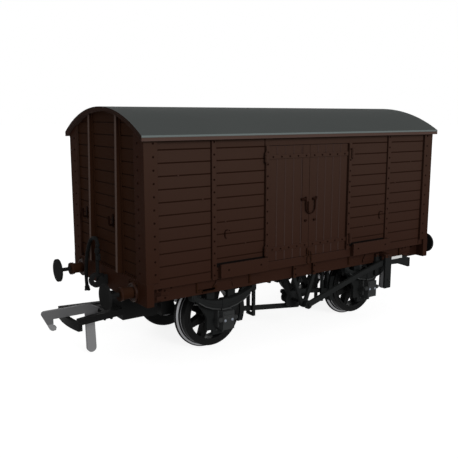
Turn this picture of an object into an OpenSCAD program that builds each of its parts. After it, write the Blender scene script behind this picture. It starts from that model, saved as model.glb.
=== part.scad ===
// Model railway covered goods van, 4 mm to the foot.
// Frame: X along the rails, Y across them, Z up. The origin is midway between
// the wheels, level with the lowest points of the wheel flanges.
// "Near" is the -Y side and "left" is the -X end. The far side and the right
// end are the near side and the left end turned half round.

/* [Body] */
// Length over the headstocks
body_len = 72; // [62:0.5:90]
// Width over the corner plates
body_w = 32; // [28:0.5:40]
// Height of the bottom edge of the sides
side_z = 15.45; // [14.5:0.05:18]
// Thickness of a side or end wall, without its ironwork
wall = 1.2; // [0.8:0.1:2]
// Thickness of the corner plates
plate_t = 0.4; // [0.2:0.05:0.6]
// Width of a corner plate along the side
corner_side_w = 2.55; // [1.5:0.05:4]
// Width of a corner plate along the end
corner_end_w = 3.6; // [2:0.05:5]
// Number of plank joints in the side
plank_joints = 11; // [8:1:14]
// Height of one plank
plank_h = 2.184; // [1.8:0.01:2.6]
// Height of the first plank joint above the bottom edge of the side
first_joint = 1.6; // [0.8:0.05:2.2]
// Width of a groove between planks
groove_w = 0.2; // [0.1:0.05:0.4]
// Depth of a groove between planks
groove_d = 0.15; // [0.05:0.05:0.3]
// Distance of the side straps from the middle
strap_x = 22.3; // [15:0.1:28]
// Width of a side strap
strap_w = 0.9; // [0.5:0.05:1.5]
// How far a side strap stands out from the planks
strap_t = 0.25; // [0.1:0.05:0.5]
// Distance of the end stanchions from the middle
stanchion_y = 5.9; // [4:0.1:9]
// Width of the web of an end stanchion
stanchion_w = 0.8; // [0.5:0.05:1.4]
// How far an end stanchion stands out at its foot
stanchion_foot = 1.1; // [0.6:0.05:1.6]
// How far an end stanchion stands out at its top
stanchion_top = 0.45; // [0.2:0.05:0.8]

/* [Doors] */
// Width of the door opening
door_w = 21.9; // [16:0.1:28]
// Height of the door sill above the bottom edge of the side
door_sill = 1.65; // [1:0.05:3]
// Height of the door opening
door_h = 21.9; // [18:0.1:22.5]
// Width of a door post
post_w = 0.7; // [0.4:0.05:1.2]
// How far a door post stands out from the planks
post_t = 0.4; // [0.2:0.05:0.6]
// Gap round each door leaf
leaf_gap = 0.08; // [0.04:0.01:0.2]
// Number of boards in one door leaf
leaf_boards = 5; // [4:1:7]
// Width of a hinge strap
hinge_w = 0.75; // [0.5:0.05:1.2]
// Height of the upper hinge strap above the sill
hinge_high = 19.8; // [17:0.1:20.4]
// Height of the lower hinge strap above the sill
hinge_low = 2.3; // [1.5:0.1:4]
// Height of the boards beside the doors
bumper_h = 2.5; // [1.5:0.1:3.5]
// How far the boards beside the doors stand out
bumper_out = 1.0; // [0.7:0.05:1.3]

/* [Roof] */
// Height of the crown of the roof
roof_z = 46.05; // [43:0.05:50]
// Radius of the roof over its canvas
roof_r = 31.5; // [26:0.1:45]
// How far the roof overhangs a side
eave_out = 0.7; // [0.4:0.05:1.2]
// How far the roof overhangs an end
gable_out = 0.65; // [0.4:0.05:1.2]
// Thickness of the roof canvas
canvas_t = 0.25; // [0.15:0.05:0.5]
// Thickness of the roof boards
boards_t = 0.5; // [0.4:0.05:1]

/* [Underframe] */
// Thickness of the floor
floor_t = 1; // [0.8:0.1:1.6]
// Thickness of a headstock
head_t = 1.35; // [1:0.05:2]
// Height of the bottom of a headstock
head_z = 12.65; // [11.5:0.05:13.5]
// Depth of a headstock
head_h = 4; // [3:0.05:5]
// How far a headstock stands out past the corner plates
head_out = 0.1; // [0:0.05:0.5]
// Distance between the outer faces of the solebars
sole_w = 28.4; // [27.4:0.1:30]
// Thickness of a solebar
sole_t = 1.2; // [0.8:0.1:1.6]
// Height of the bottom of a solebar
sole_z = 12.7; // [11.8:0.05:13.5]
// Length of the ballast weight
ballast_len = 50; // [30:1:58]
// Width of the ballast weight
ballast_w = 20; // [12:1:24]
// Thickness of the ballast weight
ballast_t = 3; // [1.5:0.1:6]

/* [Wheels] */
// Distance between the axles
wheelbase = 38; // [32:0.5:50]
// Diameter of the wheel treads
tread_d = 12.6; // [11:0.1:14]
// Height of a wheel flange
flange_h = 0.75; // [0.5:0.05:1]
// Thickness of a wheel flange
flange_t = 0.9; // [0.5:0.05:1.1]
// Width of a wheel over its flange and tread
wheel_w = 2.8; // [2.2:0.05:3.2]
// Distance between the backs of the wheels
back_to_back = 14.5; // [13.8:0.1:15]
// Thickness of the rim below the tread
rim_t = 1.45; // [1.1:0.05:1.7]
// Thickness of the tyre, marked by a line on the wheel face
tyre_t = 0.8; // [0.5:0.05:0.9]
// Number of spokes
spokes = 8; // [6:1:12]
// Diameter of a wheel hub
hub_d = 4.4; // [3:0.1:5]
// Diameter of an axle
axle_d = 2; // [1.6:0.1:2.4]
// Diameter of an axle journal
journal_d = 1; // [0.7:0.05:1.2]
// Radial clearance of a journal in its bearing
bearing_gap = 0.06; // [0.03:0.01:0.1]
// Distance between the ends of an axle
axle_len = 26.8; // [26.4:0.1:27.4]

/* [Running gear] */
// Thickness of an axleguard plate
guard_t = 0.7; // [0.5:0.05:1]
// Width of an axleguard across the tops of its stays
guard_w = 12; // [9:0.1:14]
// Running clearance between a wheel and its bearing boss
boss_gap = 0.85; // [0.3:0.05:1]
// Width of an axlebox
box_w = 2.5; // [1.6:0.1:2.8]
// Height of an axlebox
box_h = 3.5; // [2.8:0.1:3.6]
// Height of the bottom of an axlebox
box_z = 5.5; // [4.9:0.1:5.8]
// Distance between the fronts of the axleboxes
box_span = 31; // [29.4:0.1:31.8]
// Length of a leaf spring
spring_len = 13.4; // [10:0.1:14]
// Width of a leaf spring
spring_w = 1.3; // [0.9:0.05:1.6]
// Height of the top leaf at its middle
spring_top_z = 10.9; // [10.4:0.1:11.2]
// Height of the top leaf at its ends
spring_end_z = 12.6; // [11.8:0.1:12.6]
// Thickness of the pile of leaves at its middle
spring_pile = 1.7; // [1:0.1:1.8]

/* [Buffers] */
// Distance between the buffers across the van
buffer_span = 22.7; // [20:0.1:24]
// Height of the buffers
buffer_z = 14.4; // [13.8:0.05:15.2]
// Diameter of a buffer head
buffer_head_d = 4.5; // [3.6:0.1:6]
// Length of a buffer from the headstock to its face
buffer_len = 5.6; // [4.5:0.1:7]
// Diameter of a buffer socket
socket_d = 2; // [1.6:0.1:2.8]
// Length of a buffer socket
socket_len = 2.9; // [2.2:0.1:3.6]
// Diameter of a buffer rod
rod_d = 0.75; // [0.6:0.05:1.2]

/* [Couplings] */
// Width of the coupling loop
loop_w = 10; // [8:0.1:12]
// Distance from the headstock to the front of the coupling loop
loop_reach = 7.9; // [6.5:0.1:10]
// Height of the top of the coupling loop
loop_z = 9.15; // [8.4:0.05:9.3]
// Depth of the front bar of the coupling loop
bar_h = 2.25; // [1.6:0.05:2.6]
// Thickness of the side arms and front bar
arm_t = 0.75; // [0.6:0.05:1]
// Thickness of the coupling hook
hook_t = 0.6; // [0.4:0.05:0.8]
// Side clearance of the coupling hook in its slot
hook_gap = 0.15; // [0.1:0.05:0.4]
// Distance from the headstock to the hook pivot
pivot_x = 1.3; // [0.9:0.05:2]
// Height of the hook pivot
pivot_z = 8.3; // [8:0.05:8.6]
// Diameter of the hook pivot pin
pivot_d = 0.6; // [0.4:0.05:0.8]
// Radial clearance of the hook on its pin
pivot_gap = 0.08; // [0.04:0.01:0.15]
// Distance from the headstock to the tip of the hook
hook_reach = 12.75; // [11:0.05:14]

/* [Brakes] */
// Height of the brake shafts
shaft_z = 7.1; // [6.4:0.05:8]
// Diameter of a brake shaft
shaft_d = 0.8; // [0.6:0.05:1]
// Distance between the tops of the arms of a V hanger
v_w = 5.9; // [4:0.1:8]
// Width of one arm of a V hanger
v_arm = 0.7; // [0.5:0.05:1.2]
// Running gap between a brake shoe and the wheel tread
shoe_gap = 0.25; // [0.15:0.05:0.6]
// Width of a brake lever guard
lever_guard_w = 1.9; // [1.4:0.1:2.6]
// Distance of the lever guard from the brake shaft
lever_guard_x = 22.15; // [18:0.05:26]
// Distance from the brake shaft to the end of the lever
lever_reach = 29.5; // [26:0.1:33]
// Clearance between the front of an axlebox and the lever
lever_gap = 0.2; // [0.1:0.05:0.4]

/* [Pipes] */
// Diameter of the brake standpipe
pipe_d = 0.6; // [0.4:0.05:0.9]
// Diameter of the brake hose
hose_d = 0.62; // [0.4:0.05:0.9]
// Distance of the standpipe from the middle of the end
pipe_y = 1.95; // [1.4:0.05:3]
// Distance of the standpipe from the headstock
pipe_out = 1.05; // [0.7:0.05:1.5]
// Height of the top of the standpipe
pipe_z = 20.5; // [18:0.1:22]

/* [Hidden] */
$fn = 64;

// Outer and inner faces of the body
half_len = body_len / 2;
half_w = body_w / 2;
plank_x = half_len - plate_t;
plank_y = half_w - plate_t;
inner_y = plank_y - wall;
head_x = half_len - head_t;
head_top = head_z + head_h;
floor_top = side_z + floor_t;
sole_y = sole_w / 2;

// Doors
door_x = door_w / 2;
door_z = side_z + door_sill;
leaf_w = door_x - post_w - 1.5 * leaf_gap;
leaf_h = door_h - 2 * leaf_gap;
bumper_shift = 0.5;

// Roof arcs share one centre
roof_c = roof_z - roof_r;
board_r = roof_r - canvas_t;
under_r = board_r - boards_t;
eave_y = half_w + eave_out;
gable_x = half_len + gable_out;

// Wheels and bearings
tread_r = tread_d / 2;
flange_r = tread_r + flange_h;
axle_z = flange_r;
axle_x = wheelbase / 2;
back_y = back_to_back / 2;
face_y = back_y + wheel_w;
guard_y = sole_y - sole_t;
guard_in = guard_y - guard_t;
bearing_d = journal_d + 2 * bearing_gap;
boss_in = face_y + boss_gap;
shoulder_y = boss_in - 0.3;
box_y = box_span / 2;
spring_y = sole_y - sole_t / 2 + 0.1;

// Couplings
loop_x = half_len + loop_reach;
arm_h = 1.2;
arm_z = loop_z - arm_h;
bar_z = loop_z - bar_h;
rest_z = 8.45;
pin_x = half_len + pivot_x;
pocket_w = 7;
pocket_len = 4.6;
pocket_h = 4;
mount_len = 6.35;
mount_slot = 0.9;
slot_w = hook_t + 2 * hook_gap;
hook_tip = half_len + hook_reach;
hook_under = rest_z + 0.05;

// Brakes
v_t = 0.6;
v_out_y = sole_y + v_t;
v_in_y = 11.2;
rig_y = 9.1;
rod_t = 0.7;
shoe_in = back_y + flange_t + 0.4;
shoe_out = face_y - 0.1;
lever_t = 0.6;
lever_y = box_y + lever_gap + lever_t / 2;

// Turns a near or left piece into its far or right twin
module turned() { rotate([0, 0, 180]) children(); }

// A plate drawn in X and Z, standing across the van between two Y values
module upright(y0, y1) {
    translate([0, y1, 0]) rotate([90, 0, 0]) linear_extrude(y1 - y0) children();
}

// A block given by two opposite corners
module block(a, b) { translate(a) cube(b - a); }

// A round bar along Y between two Y values
module bar_y(d, y0, y1, x, z) {
    translate([x, y1, z]) rotate([90, 0, 0]) cylinder(d = d, h = y1 - y0);
}

// A round bar along X between two X values
module bar_x(d, x0, x1, y, z) {
    translate([x0, y, z]) rotate([0, 90, 0]) cylinder(d = d, h = x1 - x0);
}

// Everything under the roof boards
module under_roof() {
    translate([-body_len, 0, roof_c]) rotate([0, 90, 0])
        cylinder(r = under_r, h = 2 * body_len, $fn = 180);
}

// ---- Body ----

module floor_plate() {
    color("dimgray") block([-head_x, -inner_y, side_z], [head_x, inner_y, floor_top]);
}

module ballast_weight() {
    color("gray") translate([-ballast_len / 2, -ballast_w / 2, floor_top])
        cube([ballast_len, ballast_w, ballast_t]);
}

// Outline of one side wall, cut back round the headstocks
module side_outline() {
    difference() {
        translate([-plank_x, side_z]) square([2 * plank_x, roof_z - side_z]);
        for (s = [-1, 1])
            translate([s * (head_x + body_len / 2), head_z])
                square([body_len, 2 * head_h], center = true);
        translate([-door_x, door_z]) square([door_w, door_h]);
    }
}

module plank_grooves(y) {
    for (i = [0 : plank_joints - 1])
        for (s = [-1, 1])
            translate([s * (door_x + plank_x) / 2, y, side_z + first_joint + i * plank_h])
                cube([plank_x - door_x, 2 * groove_d, groove_w], center = true);
}

// Board that stands off the side beside the doors, open along its top edge
module bumper_board(x0, x1) {
    bottom = side_z + 0.25;
    top = bottom + bumper_h;
    block([x0, -plank_y - bumper_out, bottom], [x1, -plank_y, bottom + 0.7]);
    block([x0, -plank_y - bumper_out, bottom], [x1, -plank_y - bumper_out + 0.45, top]);
    for (x = [x0, x1 - 0.5])
        block([x, -plank_y - bumper_out, bottom], [x + 0.5, -plank_y, top - 0.3]);
}

module side_wall() {
    color([0.2, 0.14, 0.12]) {
        intersection() {
            union() {
                difference() {
                    upright(-plank_y, -inner_y) side_outline();
                    plank_grooves(-plank_y);
                }
                for (s = [-1, 1])
                    translate([s * strap_x - strap_w / 2, -plank_y - strap_t, side_z])
                        cube([strap_w, strap_t, roof_z - side_z]);
                for (s = [-1, 1])
                    translate([s * (door_x - post_w / 2) - post_w / 2, -plank_y - post_t, door_z])
                        cube([post_w, post_t + wall, door_h]);
            }
            under_roof();
        }
        bumper_board(-strap_x + strap_w / 2 + bumper_shift, -door_x + 0.15);
        bumper_board(door_x + 0.8, strap_x + strap_w / 2 + 0.1);
    }
}

// One door leaf, hinged edge at the post on side s
module door_leaf(s) {
    x0 = s < 0 ? -leaf_w - leaf_gap / 2 : leaf_gap / 2;
    z0 = door_z + leaf_gap;
    color([0.2, 0.14, 0.12]) {
        difference() {
            block([x0, -plank_y, z0], [x0 + leaf_w, -inner_y, z0 + leaf_h]);
            for (i = [1 : leaf_boards - 1])
                translate([x0 + i * leaf_w / leaf_boards, -plank_y, z0 + leaf_h / 2])
                    cube([groove_w, groove_d, 2 * leaf_h], center = true);
        }
        for (z = [hinge_low, hinge_high])
            translate([x0, -plank_y - 0.15, door_z + z - hinge_w / 2]) cube([leaf_w, 0.15, hinge_w]);
    }
}

module end_outline() {
    translate([-inner_y, head_top]) square([2 * inner_y, roof_z - head_top]);
}

// Left end, with its grooves and its two tapered stanchions
module end_wall() {
    color([0.16, 0.1, 0.08]) intersection() {
        union() {
            difference() {
                translate([-plank_x, 0, 0]) rotate([90, 0, 90]) linear_extrude(wall) end_outline();
                for (i = [0 : plank_joints + 1])
                    translate([-plank_x, 0, side_z + first_joint + i * plank_h])
                        cube([2 * groove_d, 2 * inner_y, groove_w], center = true);
            }
            for (s = [-1, 1])
                upright(s * stanchion_y - stanchion_w / 2, s * stanchion_y + stanchion_w / 2)
                    polygon([
                        [-plank_x, head_top], [-plank_x - stanchion_foot, head_top + 0.2],
                        [-plank_x - stanchion_top, roof_z], [-plank_x, roof_z]]);
            for (s = [-1, 1])
                block([-plank_x - 0.15, s * stanchion_y - 1.1, head_top],
                    [-plank_x, s * stanchion_y + 1.1, roof_z]);
        }
        under_roof();
    }
}

// L-shaped plate round the near left corner
module corner_plate() {
    color([0.2, 0.14, 0.12]) intersection() {
        difference() {
            block([-half_len, -half_w, head_top],
                [-half_len + corner_side_w, -half_w + corner_end_w, roof_z]);
            block([-plank_x, -plank_y, 0], [0, 0, 2 * roof_z]);
        }
        under_roof();
    }
}

module corner_plates() {
    for (m = [0, 1]) mirror([0, m, 0]) { corner_plate(); turned() corner_plate(); }
}

// Part of a cylinder shell between two radii, as wide as the eaves
module roof_layer(r_out, r_in) {
    translate([-gable_x, 0, 0]) rotate([90, 0, 90]) linear_extrude(2 * gable_x)
        intersection() {
            translate([0, roof_c]) difference() {
                circle(r = r_out, $fn = 180);
                circle(r = r_in, $fn = 180);
            }
            translate([-eave_y, side_z]) square([2 * eave_y, roof_z]);
        }
}

module roof_boards() { color([0.2, 0.14, 0.12]) roof_layer(board_r, under_r); }
module roof_canvas() { color([0.28, 0.29, 0.28]) roof_layer(roof_r, board_r); }

// ---- Underframe ----

module solebar() {
    color([0.2, 0.14, 0.12]) block([-head_x, -sole_y, sole_z], [head_x, -guard_y, side_z]);
}

module headstock() {
    y = half_w + head_out;
    color([0.18, 0.11, 0.09]) block([-half_len, -y, head_z], [-head_x, y, head_top]);
}

// Shape of an axleguard: two legs beside the axle, a raking stay outside each,
// a keep under the axlebox and an open slot over it
module guard_outline() {
    stay_x = guard_w / 2;
    leg_x = 3.2;
    slot_x = 1.5;
    keep_x = 1.9;
    leg_z = box_z - 0.4;
    keep_z = axle_z - 3;
    difference() {
        polygon([
            [-stay_x, side_z], [-stay_x, sole_z - 0.6], [-leg_x, axle_z + 0.7], [-leg_x, leg_z],
            [-keep_x, leg_z], [-keep_x, keep_z], [keep_x, keep_z], [keep_x, leg_z], [leg_x, leg_z],
            [leg_x, axle_z + 0.7], [stay_x, sole_z - 0.6], [stay_x, side_z]]);
        for (s = [-1, 1])
            polygon([[s * leg_x, axle_z + 2.2], [s * leg_x, sole_z], [s * (stay_x - 0.9), sole_z]]);
        translate([-slot_x, box_z + box_h + 0.4]) square([2 * slot_x, sole_z - box_z - box_h - 0.4]);
    }
}

// Axleguard plate with a bearing boss on its inner face
module axleguard() {
    boss_x = 1.7;
    color([0.12, 0.12, 0.12]) difference() {
        union() {
            upright(-guard_y, -guard_in) translate([-axle_x, 0]) guard_outline();
            block([-axle_x - boss_x, -guard_in, box_z], [-axle_x + boss_x, -boss_in, box_z + box_h]);
        }
        bar_y(bearing_d, -guard_y - 1, -boss_in + 1, -axle_x, axle_z);
    }
}

module axlebox() {
    color([0.14, 0.14, 0.14]) difference() {
        union() {
            block([-axle_x - box_w / 2, -box_y, box_z], [-axle_x + box_w / 2, -guard_y, box_z + box_h]);
            block([-axle_x - box_w / 2 - 0.3, -sole_y, box_z + 0.3],
                [-axle_x + box_w / 2 + 0.3, -guard_y, box_z + box_h]);
            upright(-box_y + 0.1, -box_y + 0.7) translate([-axle_x, box_z + 2]) {
                square([box_w + 1, 0.8], center = true);
                for (s = [-1, 1]) translate([s * (box_w / 2 + 0.5), 0]) circle(d = 0.8, $fn = 32);
            }
        }
        bar_y(bearing_d, -axle_len / 2 - 0.15, 0, -axle_x, axle_z);
    }
}

// Leaf spring: a crescent, thick at its buckle and thin at its eyes
module spring_outline() {
    half = spring_len / 2;
    sag_top = spring_end_z - spring_top_z;
    sag_low = sag_top + spring_pile - 0.5;
    r_top = (half * half + sag_top * sag_top) / (2 * sag_top);
    r_low = (half * half + sag_low * sag_low) / (2 * sag_low);
    intersection() {
        difference() {
            translate([0, spring_top_z - spring_pile + r_low]) circle(r = r_low, $fn = 128);
            translate([0, spring_top_z + r_top]) circle(r = r_top, $fn = 128);
        }
        translate([-half, 0]) square([spring_len, spring_end_z]);
    }
}

module leaf_spring() {
    low = box_z + box_h;
    eye_z = spring_end_z - 0.6;
    buckle_x = 0.6;
    color([0.12, 0.12, 0.12]) {
        upright(-spring_y - spring_w / 2, -spring_y + spring_w / 2) translate([-axle_x, 0]) {
            spring_outline();
            for (s = [-1, 1])
                translate([s * spring_len / 2, eye_z]) {
                    circle(r = 0.5, $fn = 32);
                    translate([-0.5, 0]) square([1, sole_z - eye_z]);
                }
        }
        block([-axle_x - buckle_x, -spring_y - spring_w / 2 - 0.15, low],
            [-axle_x + buckle_x, -spring_y + spring_w / 2 - 0.1, spring_top_z + 0.2]);
        block([-axle_x - 0.95, -spring_y - spring_w / 2 - 0.35, low + 0.1],
            [-axle_x + 0.95, -spring_y, low + 0.5]);
    }
}

// ---- Buffers, drawhook and brake pipe, all at the left end ----

module buffer_socket(y) {
    collar_t = 0.7;
    flange = 0.35;
    pad = 3.6;
    color([0.2, 0.12, 0.1]) difference() {
        union() {
            block([-half_len - 0.12, y - pad / 2, buffer_z - pad / 2 + 0.1],
                [-half_len, y + pad / 2, buffer_z + pad / 2 + 0.1]);
            bar_x(3.4, -half_len - flange, -half_len, y, buffer_z);
            bar_x(socket_d, -half_len - socket_len, -half_len, y, buffer_z);
            bar_x(socket_d + 0.35, -half_len - socket_len, -half_len - socket_len + collar_t, y, buffer_z);
        }
        bar_x(rod_d, -half_len - socket_len - 1, -half_len + 1, y, buffer_z);
    }
}

module buffer_head(y) {
    disc = 0.45;
    color([0.1, 0.1, 0.1]) {
        bar_x(buffer_head_d, -half_len - buffer_len, -half_len - buffer_len + disc, y, buffer_z);
        bar_x(rod_d, -half_len - buffer_len + disc / 2, -half_len, y, buffer_z);
    }
}

module drawhook() {
    x = -half_len - 2.15;
    z = buffer_z;
    color([0.1, 0.1, 0.1]) upright(-0.4, 0.4) {
        difference() {
            translate([x, z]) circle(r = 1.35);
            translate([x, z + 0.2]) circle(r = 0.6);
            translate([x + 0.9, z + 1.1]) rotate(35) square([1.6, 1], center = true);
        }
        translate([x + 0.7, z - 0.95]) square([-half_len - x - 0.7, 1.05]);
        translate([-half_len - 0.75, z - 0.95]) square([0.75, 1.75]);
    }
}

// Standpipe and rigid hose: two arcs carry the hose over and down
module brake_pipe() {
    x = -half_len - pipe_out;
    bend_r = 1.9;
    drop_r = 16;
    swing = 30;
    droop = 10;
    bend_y = pipe_y + bend_r;
    start = [bend_y + bend_r * cos(swing), pipe_z + bend_r * sin(swing)];
    centre = start - drop_r * [cos(swing), sin(swing)];
    tip = centre + drop_r * [cos(droop), -sin(droop)];
    color([0.13, 0.14, 0.14]) {
        translate([x, pipe_y, head_z + 0.6]) cylinder(d = pipe_d, h = pipe_z - head_z - 0.6);
        translate([x, pipe_y, pipe_z - 0.9]) cylinder(d = pipe_d + 0.25, h = 0.9);
        translate([x, pipe_y, pipe_z - 1]) cylinder(d = pipe_d + 0.5, h = 0.3);
        block([x - 0.45, pipe_y - 0.75, pipe_z - 2.9], [x + 0.35, pipe_y + 0.4, pipe_z - 2.1]);
        block([x - 0.1, pipe_y - 0.3, head_z + 1.6], [-half_len, pipe_y + 0.3, head_z + 2.4]);
        translate([x, start[0], start[1]]) sphere(d = hose_d + 0.1, $fn = 24);
        translate([x, 0, 0]) rotate([90, 0, 90]) {
            translate([bend_y, pipe_z]) rotate(swing)
                rotate_extrude(angle = 180 - swing) translate([bend_r, 0]) circle(d = hose_d, $fn = 24);
            translate(centre) rotate(-droop)
                rotate_extrude(angle = swing + droop, $fn = 128)
                    translate([drop_r, 0]) circle(d = hose_d, $fn = 24);
        }
        translate([x, tip[0], tip[1]]) rotate([-droop, 0, 0]) translate([0, 0, -0.8])
            cylinder(d = hose_d + 0.3, h = 0.9);
    }
}

// ---- Couplings, at the left end ----

// Pocket of the coupling, with its slotted mounting block under the floor
module coupler_pocket() {
    w = pocket_w / 2;
    x1 = -head_x + pocket_len;
    x2 = x1 + 2.6;
    x3 = x2 + mount_slot;
    slot_top = bar_z + pocket_h;
    color([0.12, 0.12, 0.12]) {
        block([-head_x, -w, bar_z], [x1, w, slot_top]);
        block([-head_x + 0.7, -w + 1.5, slot_top - 0.5], [x1, w - 1.5, side_z]);
        block([x1, -w, bar_z - 0.2], [x2, w, side_z]);
        block([x2, -w, slot_top], [x3, w, side_z]);
        block([x3, -w, bar_z - 0.55], [x1 + mount_len, w, side_z]);
    }
}

// Plan of one side arm: it closes in towards the pocket
module arm_plan() {
    y1 = loop_w / 2;
    y0 = pocket_w / 2;
    polygon([
        [-loop_x, y1 - arm_t], [-loop_x, y1], [-head_x, y0], [-head_x, y0 - arm_t - 0.4],
        [-half_len - 2.2, y0 - arm_t]]);
}

// Plan of the front bar: a shallow arc between the arms
module bar_plan() {
    bulge = 0.5;
    half = loop_w / 2;
    r = (half * half + bulge * bulge) / (2 * bulge);
    intersection() {
        translate([-loop_x - bulge + r, 0]) difference() {
            circle(r = r, $fn = 256);
            circle(r = r - arm_t, $fn = 256);
        }
        translate([-loop_x - 1, -half]) square([3, loop_w]);
    }
}

module coupler_loop() {
    deck_x = -half_len - 2.2;
    deck_w = pocket_w - 0.6;
    color([0.1, 0.1, 0.1]) {
        difference() {
            union() {
                for (m = [0, 1]) mirror([0, m, 0])
                    translate([0, 0, arm_z]) linear_extrude(arm_h) arm_plan();
                block([deck_x, -deck_w / 2, arm_z - 0.1], [-head_x, deck_w / 2, loop_z - 0.1]);
            }
            block([deck_x - 1, -slot_w / 2, 0], [-pin_x + 1.3, slot_w / 2, 2 * loop_z]);
        }
        translate([0, 0, bar_z]) linear_extrude(rest_z - bar_z) bar_plan();
        bar_y(pivot_d, -slot_w / 2 - 0.3, slot_w / 2 + 0.3, -pin_x, pivot_z);
    }
}

// Hook in its rest position on the front bar
module hook_outline() {
    top = hook_under + 1.65;
    tip = -hook_tip;
    barb = 6.4;
    tail = -half_len - 4.6;
    tail_w = 1.8;
    foot = 1.7;
    eye_r = 0.55;
    difference() {
        union() {
            polygon([
                [tip + 0.5, top], [tip + 0.1, top - 0.2], [tip, top - 0.65], [tip + 1.5, barb + 0.1],
                [tip + 1.9, barb - 0.1], [tip + 2.45, barb], [tip + 2.6, barb + 0.5],
                [tip + 2.4, barb + 0.85], [tip + 2.05, barb + 0.7], [tip + 2.05, hook_under],
                [tail, hook_under], [tail + 0.1, foot], [tail + 0.1 + tail_w, foot],
                [tail - 0.1 + tail_w, pivot_z - 0.5], [-pin_x, pivot_z - eye_r],
                [-pin_x + 0.45, pivot_z + 0.25], [-half_len - 3.75, top]]);
            translate([tail + 0.1 + tail_w / 2, foot]) circle(d = tail_w, $fn = 48);
            translate([-pin_x, pivot_z]) circle(r = eye_r);
        }
        translate([-pin_x, pivot_z]) circle(d = pivot_d + 2 * pivot_gap);
    }
}

module coupling_hook() { color([0.4, 0.4, 0.41]) upright(-hook_t / 2, hook_t / 2) hook_outline(); }

// ---- Brakes, on the near side ----

// A V with a round boss at its apex; its arms stand on either side of the middle
module v_outline(top, boss_r) {
    half = v_w / 2;
    difference() {
        union() {
            for (s = [-1, 1])
                polygon([
                    [s * half, top], [s * (half - v_arm), top], [s * (half - v_arm), sole_z],
                    [0, shaft_z], [s * 0.75, shaft_z - 0.2], [s * half, sole_z]]);
            translate([0, shaft_z]) circle(r = boss_r);
        }
        translate([0, shaft_z]) circle(d = shaft_d);
    }
}

module v_hanger_pair() {
    upright(-v_out_y, -sole_y) v_outline(side_z - 0.15, 0.85);
    upright(-v_in_y, -v_in_y + v_t) v_outline(side_z, 1.7);
}

module v_hangers() { color([0.12, 0.12, 0.12]) { v_hanger_pair(); turned() v_hanger_pair(); } }

// Short shaft from the hand lever through the V hangers to the rocking arm
module brake_shaft() {
    bar_y(shaft_d, -lever_y - lever_t / 2, -rig_y + rod_t / 2, 0, shaft_z);
}

module brake_shafts() { color([0.12, 0.12, 0.12]) { brake_shaft(); turned() brake_shaft(); } }

// One brake shoe and its hanger, on the inner side of the wheel at side s
module shoe_and_hanger(s) {
    x = s * axle_x;
    inner = tread_r + shoe_gap;
    tip = axle_x - inner - 1.3;
    upright(-shoe_out, -shoe_in) intersection() {
        difference() {
            translate([x, axle_z]) circle(r = inner + 1);
            translate([x, axle_z]) circle(r = inner);
        }
        translate([s * (axle_x - inner) - 1.6, axle_z - 2.6]) square([3.2, 5.4]);
    }
    translate([s * (tip + 0.45) - 0.3, -rig_y - 0.3, axle_z - 0.6]) cube([0.6, 0.6, side_z - axle_z + 0.6]);
}

// Straight flat rod between two points in X and Z
module flat_rod(a, b, h) {
    v = b - a;
    translate(a) rotate(atan2(v[1], v[0])) translate([0, -h / 2]) square([norm(v), h]);
}

// Rocking arm with a push rod to each shoe, and a safety loop round each rod
module brake_rigging() {
    low_pin = [3, shaft_z - 2.25];
    high_pin = [-0.9, shaft_z + 1.3];
    shoe_x = axle_x - tread_r - shoe_gap - 0.9;
    rod_h = 0.9;
    loop_x = 9.2;
    loop_z0 = axle_z - 2.15;
    loop_leg = 0.5;
    loop_y = [rig_y - 0.65 - loop_leg, rig_y + 0.65];
    color([0.12, 0.12, 0.12]) {
        for (s = [-1, 1]) shoe_and_hanger(s);
        upright(-rig_y - rod_t / 2, -rig_y + rod_t / 2) {
            difference() {
                union() {
                    flat_rod(low_pin, high_pin, rod_h);
                    for (p = [low_pin, high_pin]) translate(p) circle(d = rod_h);
                    translate([0, shaft_z]) circle(r = 1.1);
                    flat_rod([-shoe_x, axle_z - 0.5], low_pin, rod_h);
                    flat_rod(high_pin, [shoe_x, axle_z - 0.3], rod_h);
                }
                translate([0, shaft_z]) circle(d = shaft_d);
            }
        }
        for (s = [-1, 1]) {
            for (y = loop_y)
                translate([s * loop_x - 0.3, -y - loop_leg, loop_z0]) cube([0.6, loop_leg, side_z - loop_z0]);
            translate([s * loop_x - 0.3, -loop_y[1] - loop_leg, loop_z0])
                cube([0.6, loop_y[1] - loop_y[0] + loop_leg, loop_leg]);
        }
    }
}

// Hand lever: a rising bar with a flat handle at its end
module lever_outline() {
    handle = lever_guard_x - 1.2;
    knee = 15;
    handle_z = shaft_z + 5.1;
    difference() {
        union() {
            translate([0, shaft_z]) circle(r = 0.85);
            polygon([
                [0, shaft_z - 0.6], [knee, shaft_z + 3.9], [handle, handle_z], [handle, handle_z + 1.2],
                [knee - 0.2, shaft_z + 4.8], [-0.2, shaft_z + 0.5]]);
            polygon([
                [handle, handle_z], [lever_reach - 3.4, handle_z + 0.15], [lever_reach, handle_z - 0.9],
                [lever_reach, handle_z + 0.7], [lever_reach - 0.8, handle_z + 1.4],
                [handle, handle_z + 1.2]]);
        }
        translate([0, shaft_z]) circle(d = shaft_d);
    }
}

module brake_lever() {
    color([0.12, 0.12, 0.12]) upright(-lever_y - lever_t / 2, -lever_y + lever_t / 2) lever_outline();
}

// Strap that the lever moves behind, hung from the solebar
module lever_guard() {
    x0 = lever_guard_x - lever_guard_w / 2;
    x1 = lever_guard_x + lever_guard_w / 2;
    out = lever_y + lever_t / 2 + 0.25;
    top = side_z - 0.65;
    color([0.12, 0.12, 0.12]) {
        block([x0, -out - 0.45, shaft_z + 0.2], [x1, -out, top]);
        block([x0, -out - 0.2, top - 0.5], [x1, -sole_y, top]);
        block([x0 - 0.9, -sole_y - 0.8, shaft_z + 2.9], [x1 - 0.9, -sole_y - 0.3, top]);
    }
}

module lever_guards() { lever_guard(); turned() lever_guard(); }

// ---- Wheels and axles ----

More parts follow.
